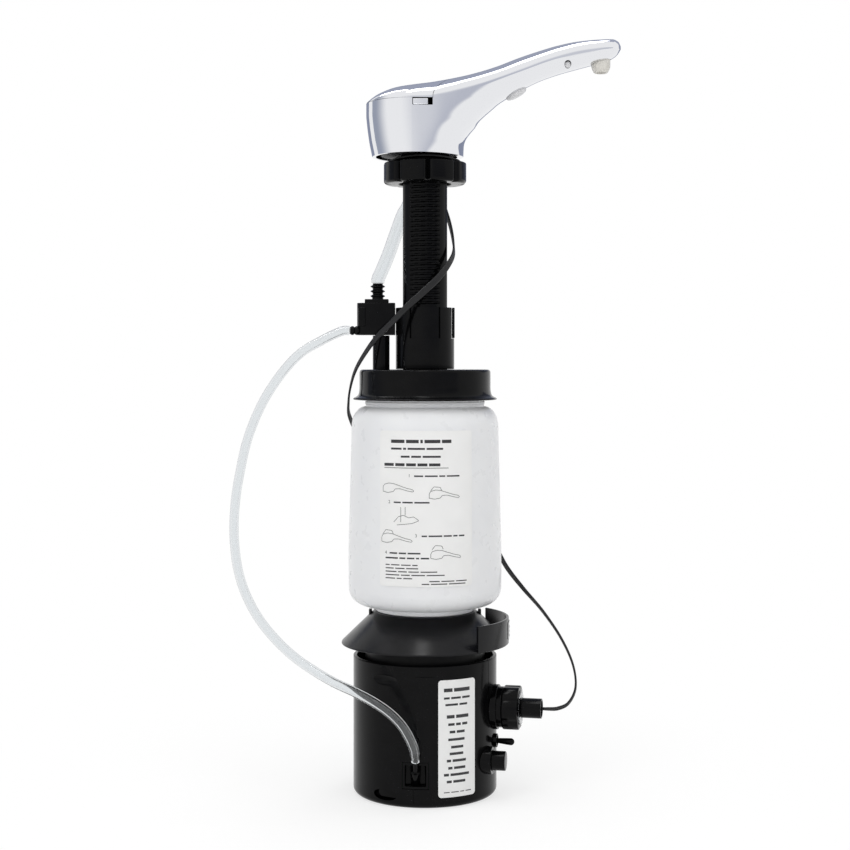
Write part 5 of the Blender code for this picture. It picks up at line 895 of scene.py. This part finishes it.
def make_spout_parts(finish):
    """What shows in and on the spout: lens, indicator light, nozzle and funnel."""
    rise = np.sin(np.linspace(0, math.pi / 2, 12))
    width = np.concatenate(([1.0], np.sqrt(1 - rise ** 2.4)))
    level = np.concatenate(([-6.5], 0.5 + 2.5 * rise)) * mm
    oval = circle(1.0, 64) * (7.6 * mm, 5.4 * mm)
    flat = oval[None] * width[:, None, None]
    rings = np.concatenate((flat, np.broadcast_to(level[:, None, None], flat.shape[:2] + (1,))), axis=2)
    piece("sensor_window", [lofted(rings, lens_place())], finish["lens"], replaces=("sensor_lens",))
    light = np.array(((0, -4), (2.1, -4), (2.1, -1.5), (1.7, -1.1), (1.0, -0.88), (0, -0.8))) * mm
    piece("light_pipe", [turned(light, 40, light_place())], finish["lens"],
          replaces=("indicator_light",))

    nozzle = np.array(((0, 506.8), (3.2, 506.4), (3.2, 494.2), (4.6, 494.2), (5.9, 496.6), (6.5, 498.6),
                       (6.5, 507.7), (0, 507.7))) * mm
    piece("spray_nozzle", [turned(soften(nozzle, 0.7 * mm, closed=False), 72,
                                  Matrix.Translation((121.3 * mm, 0, 0)))],
          finish["cream"], replaces=("foam_nozzle",))

    share = np.linspace(0, 1, 14)[:, None, None]
    turn = np.linspace(0, math.tau, 80, endpoint=False)
    across = np.stack((np.cos(turn), np.sin(turn)), axis=1)[None]
    centre = np.array((0.0, -8.3)) + (np.array((-8.0, -2.0)) - (0.0, -8.3)) * share

    def wall(thick):
        size = np.array((13.8, 7.0)) + (np.array((21.0, 21.0)) - (13.8, 7.0)) * share - thick
        height = np.broadcast_to(446.3 + 24.9 * share, (14, 80, 1))
        return np.concatenate((centre + across * size, height), axis=2) * mm

    piece("fill_bowl", [lofted(np.concatenate((wall(0.0), wall(2.0)[::-1])), wrap_rows=True)],
          finish["black"], replaces=("fill_funnel",))


def make_nut(finish):
    """Deck nut with eight broad lobes and its thread, and the wavy gasket that lies on it.

    The lobes' radius is the valley plus a rise of 1 - exp(-(d / w)^2), where d is the distance
    round the nut from the nearest groove, less a little towards each lobe's ends.
    """
    lobes, count = 8, 256
    turn = math.radians(-86) + np.linspace(0, math.tau, count, endpoint=False)
    offset = ((turn - math.radians(-86)) * lobes / math.tau + 0.5) % 1 - 0.5
    away = np.abs(offset) * math.tau / lobes * 28.6
    lobed = 25.6 + 3.0 * (1 - np.exp(-(away / 1.5) ** 2)) - 1.2 * (0.5 - np.abs(offset)) ** 2
    bend = np.linspace(0, math.pi / 2, 7)
    foot_in, foot_up = 2.4 * (1 - np.sin(bend)), 417.5 + 2.4 * (1 - np.cos(bend))
    head_in, head_up = 0.9 * (1 - np.cos(bend)), 432 - 0.9 * (1 - np.sin(bend))
    shrink = np.concatenate((foot_in, head_in))[:, None]
    height = np.concatenate((foot_up, head_up))[:, None]
    outer = np.maximum(lobed[None] - shrink, 22.0)
    radius = np.concatenate((outer, np.full((1, count), 18.6), np.full((2, count), 18.1),
                             np.full((1, count), 18.6)))
    height = np.concatenate((height, ((432.0,), (431.5,), (418.0,), (417.5,))))
    rings = np.stack((radius * np.cos(turn), radius * np.sin(turn),
                      np.broadcast_to(height, radius.shape)), axis=2) * mm
    body = lofted(rings, wrap_rows=True)
    start, turns, low = -math.pi / 2, 3.3, 419.498
    along = start + np.linspace(0, math.tau * turns, 150)
    ridge = np.array(((18.6, -1.1), (16.6, -0.36), (16.6, 0.36), (18.6, 1.1)))
    middle = low + 3.3 * (along - start) / math.tau
    helix = np.stack((ridge[None, :, 0] * np.cos(along)[:, None], ridge[None, :, 0] * np.sin(along)[:, None],
                      middle[:, None] + ridge[None, :, 1]), axis=2) * mm
    piece("lobed_deck_nut", [body, lofted(helix)], finish["black"], "nut", ("deck_nut",))

    section = soften(((19.5, 0), (24.5, 0), (24.5, 1.3), (19.5, 1.3)), 0.4)
    turn = np.linspace(0, math.tau, 160, endpoint=False)[:, None]
    radius, rise = section[None, :, 0], section[None, :, 1]
    height = 433.2 + rise - 0.9 * radius / 24.5 * np.cos(2 * turn)
    rings = np.stack((radius * np.cos(turn), radius * np.sin(turn), height), axis=2) * mm
    piece("wavy_gasket", [lofted(rings, wrap_rows=True)], finish["rubber"], "clamp",
          ("deck_gasket",))


def make_shank(finish):
    """Half round shank: a round front with thread ridges, flat sides and a flat back.

    The front's radius is the root plus a trapezoid of the height, less the helix's own rise, taken
    round the nearest turn of the thread.
    """
    pitch = 3.3
    fine = np.arange(334.0, 432.3, 0.275)
    rows = np.array([(284, 16.2, 15.2)] + [(z, 16.2, 15.2) for z in fine]
                    + [(433.0, 16.2, 15.2), (433.0, 18.7, 16.2), (433.3, 19, 16.5), (436.4, 19, 16.5),
                       (436.7, 18.7, 16.2), (436.7, 16.2, 15.2), (440.3, 16.2, 15.2),
                       (440.3, 20.7, 18.1), (440.6, 21, 18.4), (446.0, 21, 18.4), (446.3, 20.6, 18.0)])

    def ring(rows, back, ridged):
        height, radius, half = rows[:, :1], rows[:, 1:2], rows[:, 2:]
        reach = np.arcsin(half / radius)
        turn = front + reach * np.linspace(-1, 1, 81)[None]
        start = front - math.radians(38)
        lead = height - 335 - pitch * (turn - start) / math.tau
        nearest = np.abs((lead + pitch / 2) % pitch - pitch / 2)
        rise = np.clip((0.858 - nearest) / 0.495, 0, 1) * (lead > -1) * (lead < 28.6 * pitch)
        rise = rise * np.clip((math.radians(38.5) - np.abs(turn - front)) / math.radians(1.5), 0, 1)
        radius = radius + (1.5 * rise if ridged else 0.0)
        arc_part = np.stack((radius * np.cos(turn), radius * np.sin(turn)), axis=2)
        share = np.array((1.0, 0.985, 0.93, 0.5, -0.5, -0.93, -0.985, -1.0))
        drop = np.array((1.0, 0.3, 0.0, 0.0, 0.0, 0.0, 0.3, 1.0))
        rear = np.stack((half * share, np.broadcast_to(back - drop, (len(rows), 8))), axis=2)
        flat = np.concatenate((arc_part, rear), axis=1)
        return np.concatenate((flat, np.broadcast_to(height[:, :, None], flat.shape[:2] + (1,))), axis=2) * mm

    bore = np.array([(446.3, 14.0, 13.0), (284.0, 14.0, 13.0)])
    rings = np.concatenate((ring(rows, -0.5, True), ring(bore, -2.7, False)))
    piece("threaded_shank", [lofted(rings, wrap_rows=True)], finish["black"],
          replaces=("fill_shank",), crease=28)


def d_outline(radius, half, back):
    """Round front between two straight sides, with a flat back."""
    reach = math.asin(half / radius)
    return np.vstack((arc((0, 0), radius, front - reach, front + reach, 60), ((half, back), (-half, back))))


def make_socket(finish):
    """Socket on the cap that takes the shank, with a sunk front panel, and its release tab."""
    body = lathe(((8, 290.2), (20.2, 290.2), (20.2, 332.3), (8, 332.3)), 160, soft=0.5)
    fit = extruded(d_outline(18.0 * mm, 15.5 * mm, -0.2 * mm), 0.289, 0.334)
    half = math.radians(31)
    window = np.vstack((arc((0, 0), 21.5 * mm, front - half, front + half, 40),
                        arc((0, 0), 19.1 * mm, front + half, front - half, 40)))
    window = extruded(window, 0.3111, 0.334)
    seat = box((18.2 * mm, -21 * mm, 0.3111), (22 * mm, 21 * mm, 0.334))
    socket = carved("shank_socket", [body], [fit, window, seat])
    piece("shank_socket", socket, finish["black"], replaces=("cap_socket",))
    tab = box((18.5 * mm, -6 * mm, 0.3114), (20.4 * mm, 6 * mm, 0.3323), 0.5 * mm)
    piece("release_tab", [tab], finish["black"], "tab", ("lock_tab",))


def make_cap(finish):
    """Screw cap: a glossy lid with a broad rounded edge above and a thin flared lip below."""
    profile = soften(np.array((
        (18.5, 287.4), (41.6, 287.4), (41.6, 269.0), (49.2, 269.0), (49.7, 269.8), (49.0, 270.5),
        (46.0, 271.9), (45.2, 275.6), (45.2, 289.9), (18.5, 289.9))) * mm, 2.4 * mm, steps=7)
    hole = lathe(((0, 286), (6.15, 286), (6.15, 291), (0, 291)), 48, riser_place)
    cap = carved("screw_cap", [turned(profile, 192)], [hole])
    piece("screw_cap", cap, finish["black"], replaces=("bottle_cap",))


def bottle_radius(height):
    """Outside of the bottle's wall, which leans in from its widest level up to the shoulder."""
    return (52.6 - 2.1 * np.clip((np.asarray(height) / mm - 170) / 81, 0, 1)) * mm


def make_bottle(finish):
    """Blown bottle: foot bead, round lower corner, leaning wall, elliptic shoulder and neck."""
    low = arc((40.6, 140.6), 12.0, -math.pi / 2, 0, 14)
    turn = np.linspace(0, math.pi / 2, 14)
    shoulder = np.stack((40.8 + 9.7 * np.cos(turn), 251 + 13.5 * np.sin(turn)), axis=1)
    outer = np.vstack((((9.3, 128.6), (31.0, 128.6), (31.0, 125.4), (31.6, 124.4), (33.7, 124.4),
                        (34.3, 125.2), (34.5, 128.0), (35.6, 128.6)), low, ((52.6, 170.0),), shoulder,
                       ((40.8, 266.0), (41.3, 266.6), (41.3, 267.6), (40.8, 268.2), (40.8, 284.6))))
    low_in = arc((40.6, 141.1), 10.2, 0, -math.pi / 2, 12)
    shoulder_in = np.stack((39.0 + 9.7 * np.sin(turn), 252 + 12.6 * np.cos(turn)), axis=1)
    inner = np.vstack((((40.4, 285.0), (39.4, 285.0), (39.0, 284.6)), shoulder_in, ((50.8, 170.0),),
                       low_in, ((9.3, 130.9),)))
    piece("milky_bottle", [turned(np.vstack((outer, inner)) * mm, 192)], finish["bottle"],
          replaces=("bottle",))


def wrapped(flat, radius_at, centre):
    """Flat (across, up) points laid on a turned surface: the turn is across over the radius."""
    across, up = flat[..., 0], flat[..., 1]
    radius = radius_at(up)
    turn = centre + across / radius
    return np.stack((radius * np.cos(turn), radius * np.sin(turn), up), axis=-1)


def label_shape(width, low, high, corner, thick, radius_at, centre):
    """Sheet with quarter-circle corners, lofted across the label as upright loops."""
    ease = (1 - np.cos(np.linspace(0, math.pi / 2, 8))) * corner
    across = np.concatenate((ease - width / 2, np.linspace(corner - width / 2, width / 2 - corner, 40)[1:-1],
                             (width / 2 - ease)[::-1]))
    away = np.minimum(width / 2 - np.abs(across), corner)
    inset = corner - np.sqrt(np.maximum(corner ** 2 - (corner - away) ** 2, 0))
    share = np.linspace(0, 1, 24)[None]
    up = low + inset[:, None] + (high - low - 2 * inset[:, None]) * share
    flat = np.stack((np.broadcast_to(across[:, None], up.shape), up), axis=2)
    outer = wrapped(flat, lambda height: radius_at(height) + thick, centre)
    inner = wrapped(flat, radius_at, centre)[:, ::-1]
    return lofted(np.concatenate((outer, inner), axis=1))


def bars(rows, radius_at, centre):
    """Printed bars in place of words: each row is (start, level, height, widths)."""
    corners = []
    for start, level, height, widths in rows:
        ends = np.cumsum(np.array(widths) + 1.1)
        for end, width in zip(ends, widths):
            corners.append((start + end - width - 1.1, level, width, height))
    corners = np.array(corners) * mm
    across = corners[:, 0, None] + corners[:, 2, None] * np.linspace(0, 1, 6)[None]
    up = corners[:, 1, None] + corners[:, 3, None] * np.array((0.0, 1.0))[None]
    shape = (len(corners), 6, 2)
    flat = np.stack((np.broadcast_to(across[:, :, None], shape), np.broadcast_to(up[:, None], shape)), axis=3)
    points = wrapped(flat, radius_at, centre).reshape(-1, 3)
    first = (np.arange(len(corners)) * 12)[:, None] + (np.arange(5) * 2)[None]
    quads = np.stack((first, first + 2, first + 3, first + 1), axis=2).reshape(-1, 4)
    return points, quads


def stroke(line, width, radius_at, centre):
    """Printed line: its points moved half a width to either side along its normals."""
    line = np.array(line, dtype=float) * mm
    along = np.concatenate(([0], np.cumsum(np.linalg.norm(np.diff(line, axis=0), axis=1))))
    even = np.linspace(0, along[-1], max(3, int(along[-1] / (0.8 * mm))))
    line = np.stack([np.interp(even, along, line[:, axis]) for axis in (0, 1)], axis=1)
    tangent = np.gradient(line, axis=0)
    tangent /= np.linalg.norm(tangent, axis=1, keepdims=True)
    side = np.stack((-tangent[:, 1], tangent[:, 0]), axis=1) * width / 2
    flat = np.stack((line + side, line - side), axis=1)
    return grid_shape(wrapped(flat, radius_at, centre), wrap_columns=False)


def numeral(text, at, size, radius_at, centre):
    """A plain step number, made a mesh and laid on the label."""
    curve = bpy.data.curves.new("numeral", "FONT")
    curve.body, curve.size = text, size * mm
    obj = bpy.data.objects.new("numeral", curve)
    bpy.context.collection.objects.link(obj)
    mesh = bpy.data.meshes.new_from_object(obj.evaluated_get(bpy.context.evaluated_depsgraph_get()))
    points, faces = mesh_shape(mesh)
    bpy.data.objects.remove(obj)
    bpy.data.meshes.remove(mesh)
    return wrapped(points[:, :2] + np.array(at) * mm, radius_at, centre), faces


def raised(radius_at, lift):
    """Radius of a turned surface at a height, raised by the lift."""
    return lambda height: radius_at(height) + lift


def upright_wall(radius):
    """Radius of an upright wall, the same at each height."""
    return lambda height: np.asarray(height) * 0 + radius


def make_label(name, sheet, radius_at, centre, print_shapes, finish):
    """Film over a label's node and the print that lies on it."""
    film = label_shape(*sheet, film_thickness, raised(radius_at, film_lift), centre)
    piece(name + "_film", [film], finish["label"], replaces=(name + "_label",))
    printed = mesh_from(name + "_print", print_shapes, closed=False)
    piece(name + "_print", printed, finish["ink"])


def make_bottle_label(finish):
    """Label with step numbers, bars in place of words and small line drawings of the spout."""
    centre = bottle_label_turn
    face = raised(bottle_radius, ink_lift)
    rows = [(-24, 241.6, 2.2, (9.5, 8.5, 1.6, 10.5, 6.5)), (-24, 237.2, 1.3, (7.5, 2, 11.5, 11)),
            (-17, 232.0, 1.3, (6, 6.5, 12)), (-29, 226.4, 1.9, (7, 6.5, 6.5, 6.5, 7.5)),
            (-8, 219.4, 1.0, (6, 8.5, 4, 9)), (-22, 202.0, 1.0, (5, 7, 10)),
            (-3, 180.0, 1.0, (3.5, 9, 5.5, 3, 4)), (-25, 168.6, 1.0, (5.5, 5, 8.5)),
            (-28, 165.4, 1.0, (9, 4, 5, 2, 5.5)), (-28, 161.0, 0.7, (3, 6, 6.5, 3.5)),
            (-28, 158.8, 0.7, (6, 6.5, 8)), (-28, 156.6, 0.7, (8, 6, 7, 11)),
            (-28, 154.4, 0.7, (10, 6, 9, 12)), (-28, 152.2, 0.7, (7, 3.5, 6)),
            (2, 150.4, 0.7, (7, 9, 8)), (-3, 148.6, 0.7, (5, 11, 12))]
    print_shapes = [bars(rows, face, centre)]
    for text, at in (("1", (-12, 219.2)), ("2", (-26, 201.8)), ("3", (-7.5, 179.8)), ("4", (-28.5, 168.4))):
        print_shapes.append(numeral(text, at, 3.0, face, centre))
    spout = np.array(((0, 0), (0, 3.4), (1.2, 5.2), (5, 6.2), (9, 5.8), (14, 4.2), (19, 2.6), (23, 1.8),
                      (24.4, 0.6), (23.4, 0), (19, 0.8), (14, 2.2), (10, 2.0), (8.6, 0), (4, -0.8), (0, 0)))
    lid = np.array(((1.0, 5.4), (3.5, 8.6), (8.6, 8.2), (9.6, 5.8)))
    hand = np.array(((0, 0), (3, 3.2), (6, 4.0), (9, 2.6), (12, 3.2), (15, 1.0), (11, -0.6), (6, -1.2),
                     (2, -1.6)))
    for shape, at, size in ((spout, (-30, 209.5), 0.9), (spout, (2, 205.5), 0.86), (lid, (2, 205.5), 0.86),
                            (hand, (-22, 189.5), 1.15), (spout, (-31, 176.5), 0.9), (lid, (-31, 176.5), 0.9),
                            (spout, (3, 166.0), 0.86), (lid, (3, 167.0), 0.86)):
        print_shapes.append(stroke(shape * size + at, 0.32 * mm, face, centre))
    print_shapes.append(stroke(((-29, 225.2), (15, 225.2)), 0.4 * mm, face, centre))
    for start, end in (((-17, 199.5), (-17, 189.5)), ((-14, 199.5), (-14, 194))):
        print_shapes.append(stroke((start, end), 0.32 * mm, face, centre))
    make_label("bottle", (65.0 * mm, 0.1471, 0.2497, 2.0 * mm), bottle_radius, centre, print_shapes, finish)


def make_cone(finish):
    """Drip cone with rounded rim and top edge, its guard wall with a label, and two hooks."""
    slope = 21.4 / 22.2

    def outside(radius):
        return 124.1 - slope * (radius - 35.3)

    profile = np.array((
        (9.6, 124.1), (35.3, 124.1), (57.4, 102.8), (57.5, 101.9), (55.9, 101.9),
        (41.15, outside(41.15) - 2.5), (41.15, 112.3), (38.65, 112.3), (38.65, outside(38.65) - 2.5),
        (34.5, 121.6), (9.6, 121.6)))
    cone = turned(soften(profile, 0.7)[::-1] * mm, 192)
    turn = np.linspace(-52.4, 40.0, 70) * math.pi / 180
    wall = soften(np.array(((56.0, 102.2), (57.8, 102.2), (57.8, 119.9), (56.0, 119.9))), 0.5)
    rings = np.stack((wall[None, :, 0] * np.cos(turn)[:, None], wall[None, :, 0] * np.sin(turn)[:, None],
                      np.broadcast_to(wall[None, :, 1], (70, len(wall)))), axis=2) * mm
    hooks = [box((low * mm, -2.5 * mm, 0.1205), ((low + 2.2) * mm, 2.5 * mm, 0.1248), 0.5 * mm)
             for low in (36.5, -38.7)]
    piece("drip_cone_and_guard", [cone, lofted(rings)] + hooks, finish["cone"],
          replaces=("drip_cone",))
    rows = [(-9, 113.0, 1.6, (7, 9)), (-8, 110.0, 1.2, (6, 4, 4)), (-9, 107.2, 1.2, (8, 8))]
    wall_at = upright_wall(57.8 * mm)
    make_label("guard", (22.9 * mm, 0.1052, 0.117, 1.0 * mm), wall_at, 0.0,
               [bars(rows, raised(wall_at, ink_lift), 0.0)], finish)

    cup = np.array(((0, 70.1), (46.5, 70.1), (46.5, 72.5), (41.0, 72.5), (41.0, 112.0), (38.8, 112.0),
                    (38.8, 72.5), (0, 72.5)))
    notch = lathe(((0, 69), (3.5, 69), (3.5, 74), (0, 74)), 40, soap_line_place)
    cup = carved("cup", [turned(soften(cup, 0.6, closed=False)[::-1] * mm, 160)], [notch])
    piece("pump_housing", cup, finish["grained"], replaces=("pump_cup",))


def make_module(finish):
    """Outer sleeve: a glossy can with its hose window, seams, slot, finger dimples and fitting holes."""
    inside = 46.9
    foot = arc((45.3, 4.0), 4.0, -math.pi / 2, 0, 10)
    profile = np.vstack((((44.2, 3.3), (44.2, 0.4), (44.6, 0.0)), foot,
                         ((49.3, 93.6), (48.9, 94.0), (47.2, 94.0), (inside, 93.7), (inside, 69.8),
                          (44.6, 69.8), (44.6, 67.4), (inside, 67.4), (inside, 5.8), (36.0, 5.8),
                          (36.0, 3.3))))
    sleeve = turned(profile * mm, 240)
    cuts = [box((-15.2 * mm, -52 * mm, 12.9 * mm), (2.6 * mm, -39.6 * mm, 30.7 * mm))]
    for at, radius in ((socket_at, 8.9), (toggle_at, 4.9), (button_at, 8.3)):
        cuts.append(lathe(((0, 37), (radius, 37), (radius, 51), (0, 51)), 48, panel_place(*at)))
    for turn, low, high in ((-98.8, 4.0, 13.9), (-29.9, 68.1, 95.0)):
        cuts.append(box((48.6 * mm, -0.25 * mm, low * mm), (51 * mm, 0.25 * mm, high * mm),
                        frame=Matrix.Rotation(math.radians(turn), 4, "Z")))
    ball = np.stack((np.cos(np.linspace(front, -front, 25)), np.sin(np.linspace(front, -front, 25))), axis=1)
    ball[[0, -1], 0] = 0
    for height in (83.9, 7.6):
        dimple = (Matrix.Rotation(math.radians(-123), 4, "Z")
                  @ Matrix.Translation((module_radius, 0, height * mm))
                  @ Matrix.Diagonal((1.7 * mm, 10.4 * mm, 3.5 * mm, 1.0)))
        cuts.append(turned(ball, 48, dimple))
    cuts.append(box((-6.6 * mm, -51 * mm, 86.95 * mm), (6.6 * mm, -48.6 * mm, 87.85 * mm)))
    screws = [lathe(((0, -1), (3.5, -1), (3.5, 2.2), (1.8, 2.2), (1.8, 6.1), (0, 6.1)), 24,
                    Matrix.Translation((40 * mm * math.cos(t), 40 * mm * math.sin(t), 0)))
              for t in np.radians((64.0, 184.0, 304.0))]
    can = carved("module_can", [sleeve], cuts + screws)
    piece("module_can", can, finish["black"], replaces=("module_sleeve",), crease=28)

    rows = [(-10, 77.0, 2.4, (6, 12)), (-10, 72.2, 1.4, (4, 7, 6)), (-9, 67.8, 1.4, (9, 6)),
            (-8, 59.5, 2.2, (5.5, 9.5)), (-7, 54.6, 1.7, (4.5, 3.5, 4)), (-6, 49.6, 1.7, (4, 6)),
            (-7, 44.6, 1.7, (12,)), (-5, 39.6, 1.7, (9,)), (-6, 35.2, 1.7, (10,)),
            (-8, 30.6, 1.7, (3, 10)), (-7, 25.8, 1.7, (3, 8.5)), (-10, 21.4, 1.7, (3.5, 14)),
            (-8, 16.8, 1.7, (3.5, 9)), (-10, 10.4, 0.6, (4, 5.5, 3, 4.5))]
    wall_at = upright_wall(module_radius)
    make_label("module", (27.5 * mm, 7.4 * mm, 84.9 * mm, 2.2 * mm), wall_at, module_label_turn,
               [bars(rows, raised(wall_at, ink_lift), module_label_turn)], finish)
    patch = label_shape(7.5 * mm, 15.5 * mm, 25.0 * mm, 1.6 * mm, 0.1 * mm,
                        raised(wall_at, 0.04 * mm), math.radians(-19.0))
    piece("grey_inspection_dot", [patch], finish["dot"])


def panel_place(side, height):
    """Frame on the module's middle line that points out through a place on its panel."""
    return outward(panel_turn, side * mm, height * mm)


def make_hose_plate(finish):
    """Sunk square plate with the leaning nipple that takes the soap tube."""
    plate = box((-14.9 * mm, -50.3 * mm, 13.2 * mm), (2.3 * mm, -39.9 * mm, 30.4 * mm), 0.4 * mm)
    pocket = box((-13.4 * mm, -51.3 * mm, 14.7 * mm), (0.8 * mm, -41.4 * mm, 28.9 * mm), 0.8 * mm)
    trim = lathe(((0, 0), (49.0, 0), (49.0, 40), (0, 40)), 240)
    foot, end = Vector((-6.3, -43.6, 17.6)) * mm, Vector((-6.3, -54.4, 33.4)) * mm
    at = Matrix.Translation(foot) @ (end - foot).to_track_quat("Z", "Y").to_matrix().to_4x4()
    length = (end - foot).length / mm
    plate = carved("plate", [plate], [pocket], kept=trim)
    bar = Matrix.Translation((-6.04 * mm, 0, 25 * mm)) @ Matrix.Rotation(math.pi / 2, 4, "X")
    nipple = lathe(((0, -3.1), (3.1, -3.1), (3.1, 0.45 * length), (1.8, 0.46 * length), (1.8, length),
                    (0, length)), 36, at, soft=0.3, closed=False)
    shapes = [mesh_shape(plate), nipple,
              lathe(((0, 34.27), (2.4, 34.27), (2.4, 41.4), (0, 41.4)), 28, bar),
              lathe(((0, 22.6), (2.4, 22.6), (2.4, 31.6), (0, 31.6)), 28, soap_line_place)]
    piece("hose_inlet", shapes, finish["black"], replaces=("hose_plate",))


def make_plug(finish):
    """Cable socket on the module's wall, its lobed ring nut, clear washer and the plug."""
    at = panel_place(*socket_at)
    keep_out = lathe(((0, 30), (49.6, 30), (49.6, 90), (0, 90)), 240)
    flange = lathe(((0, 41), (15.2, 41), (15.2, 51.6), (0, 51.6)), 120, at, soft=0.5, closed=False)
    flange = carved("flange", [flange], [keep_out])
    core = lathe(((0, 38.5), (8.6, 38.5), (8.6, 49.3), (13.8, 49.9), (13.8, 55.0), (12.3, 55.0),
                  (12.3, 64.4), (6.5, 64.4), (6.5, 52.2), (0, 52.2)), 120, at, soft=0.4, closed=False)
    piece("cable_inlet", [mesh_shape(flange), core], finish["black"],
          replaces=("cable_socket",))

    turn = np.linspace(0, math.tau, 180, endpoint=False)
    lobed = 13.9 + 1.3 * np.sqrt(0.5 + 0.5 * np.cos(6 * turn))
    levels = ((55.3, 0.4), (55.9, 0.0), (65.6, 0.0), (66.1, 0.3), (66.3, 0.8))
    radius = [lobed - shrink for _, shrink in levels] + [lobed * 0 + r for r in (7.1, 7.1, 12.6, 12.6)]
    radius = np.array(radius)
    height = np.array([level for level, _ in levels] + [66.3, 65.0, 65.0, 55.3])[:, None]
    rings = np.stack((radius * np.cos(turn), radius * np.sin(turn), np.broadcast_to(height, radius.shape)),
                     axis=2)
    piece("ring_nut", [lofted(rings * mm, at, wrap_rows=True)], finish["black"], "ring_nut",
          ("coupling_nut",))
    washer = lathe(((6.5, 66.6), (11.7, 66.6), (11.7, 67.1), (6.5, 67.1)), 96, at, soft=0.15)
    washer = piece("clear_washer", [washer], finish["clear"], replaces=("plug_washer",))
    plug = lathe(((0, 52.5), (6.2, 52.5), (6.2, 67.4), (6.7, 67.4), (6.7, 81.1), (5.6, 81.1), (5.6, 80.2),
                  (0, 80.2)), 96, at, soft=0.25, closed=False)
    plug = piece("cable_plug_body", [plug], finish["black"], replaces=("cable_plug",))
    return [plug, washer]


def make_switches(finish):
    """Toggle with its bush and lever, and the push button in its bezel."""
    at = panel_place(*toggle_at)
    bush = lathe(((0, 37.5), (4.6, 37.5), (4.6, 51.0), (3.4, 51.0), (2.3, 48.0), (2.3, 45.2), (0, 45.2)),
                 60, at, soft=0.3, closed=False)
    piece("toggle_bush", [bush], finish["black"], replaces=("toggle_body",))
    pivot = at @ Vector((0, 0, 48.6 * mm))
    swung = (Matrix.Translation(pivot) @ Matrix.Rotation(math.radians(-10), 4, "Z")
             @ Matrix.Translation(-pivot) @ at)
    lever = np.vstack((((0, 46.9), (1.7, 48.6), (1.7, 51.3), (2.2, 57.5)),
                       arc((0, 60.8), 2.4, 0, math.pi / 2, 9)))
    lever[-1, 0] = 0
    piece("toggle_stick", [lathe(lever, 40, swung)], finish["black"], "toggle",
          ("toggle_lever",))
    at = panel_place(*button_at)
    keep_out = lathe(((0, 10), (49.6, 10), (49.6, 45), (0, 45)), 240)
    bezel = lathe(((7.1, 41), (9.2, 41), (9.2, 49.9), (7.1, 49.9)), 96, at, soft=0.5)
    bezel = carved("bezel", [bezel], [keep_out])
    cup = lathe(((0, 38), (8.0, 38), (8.0, 49.6), (6.8, 49.6), (6.8, 41.0), (0, 41.0)), 96, at,
                soft=0.3, closed=False)
    piece("button_bezel", [mesh_shape(bezel), cup], finish["black"],
          replaces=("button_body",))
    button = lathe(((0, 44.3), (6.5, 44.3), (6.5, 59.0), (0, 59.0)), 96, at, soft=0.8, closed=False)
    piece("round_button", [button], finish["black"], "button", ("push_button",))


def make_block(finish):
    """Mixing block with its step, the ribbed top barb, the side barb and the riser below."""
    outline = np.vstack((((-20.5, -8), (-20.5, 8)), arc((-40.8, 2.0), 6.0, math.pi / 2, math.pi, 10),
                         arc((-40.8, -2.0), 6.0, math.pi, 1.5 * math.pi, 10)))
    body = extruded(soften(outline, 0.8) * mm, 0.3135, 0.3356, 0.4 * mm)
    step = box((-41.4 * mm, -6.4 * mm, 0.335), (-25 * mm, 6.4 * mm, 0.3382), 0.5 * mm)
    rib = box((-45.6 * mm, -8.5 * mm, 0.3195), (-40.6 * mm, -6.0 * mm, 0.3325), 0.6 * mm)
    ribs = [(0, 337.0), (3.9, 337.0), (3.9, 339.4)]
    for low in (339.6, 342.9, 346.2):
        ribs += [(3.9, low), (5.0, low + 0.5), (5.0, low + 1.1), (3.5, low + 1.9), (3.5, low + 2.6)]
    ribs += [(3.4, 349.2), (1.9, 349.2), (1.9, 340.0), (0, 340.0)]
    barb = lathe(ribs, 56, Matrix.Translation((-32.6 * mm, 0, 0)), soft=0.25, closed=False)
    side = (Matrix.Translation((-30.2 * mm, 0, 316.6 * mm)) @ Matrix.Rotation(math.radians(194), 4, "Z")
            @ Matrix.Rotation(math.pi / 2, 4, "Y"))
    nose = lathe(((0, 12), (2.3, 12), (2.3, 15.6), (3.1, 16.2), (3.1, 17.6), (2.3, 19.0), (3.1, 19.6),
                  (3.1, 20.8), (2.2, 22.2), (1.0, 22.2), (1.0, 18.0), (0, 18.0)), 40, side,
                 soft=0.25, closed=False)
    piece("mixing_chamber", [body, step, rib, barb, nose], finish["black"],
          replaces=("mixing_block",))
    riser = lathe(((2.2, 284.0), (5.85, 284.0), (5.85, 313.2), (2.2, 313.2)), 64, riser_place, soft=0.3)
    piece("riser_tube", [riser], finish["black"], replaces=("air_riser",))


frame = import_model()
finishes = make_materials()
make_studio()
make_tubes(finishes)
make_cable(finishes, make_plug(finishes))
make_spout(finishes)
make_spout_parts(finishes)
make_nut(finishes)
make_shank(finishes)
make_socket(finishes)
make_cap(finishes)
make_block(finishes)
make_bottle(finishes)
make_bottle_label(finishes)
make_cone(finishes)
make_module(finishes)
make_hose_plate(finishes)
make_switches(finishes)
dress(("lid_pin", "nozzle_screen", "riser_ball", "pump_motor", "contact_plate_lower", "contact_plate_upper",
       "base_screw_1", "base_screw_2", "base_screw_3"), finishes["steel"])
dress(("pump_body", "pump_cover", "drive_gear", "driven_gear", "outlet_fitting", "boss_plate"),
      finishes["nylon"])
dress(("module_base",), finishes["grained"])
dress(("cap_seal", "outlet_seal"), finishes["rubber"])
dress(("sensor_board", "control_board"), finishes["board"])
dress(("battery_1", "battery_2", "battery_3", "battery_4"), finishes["cell"])
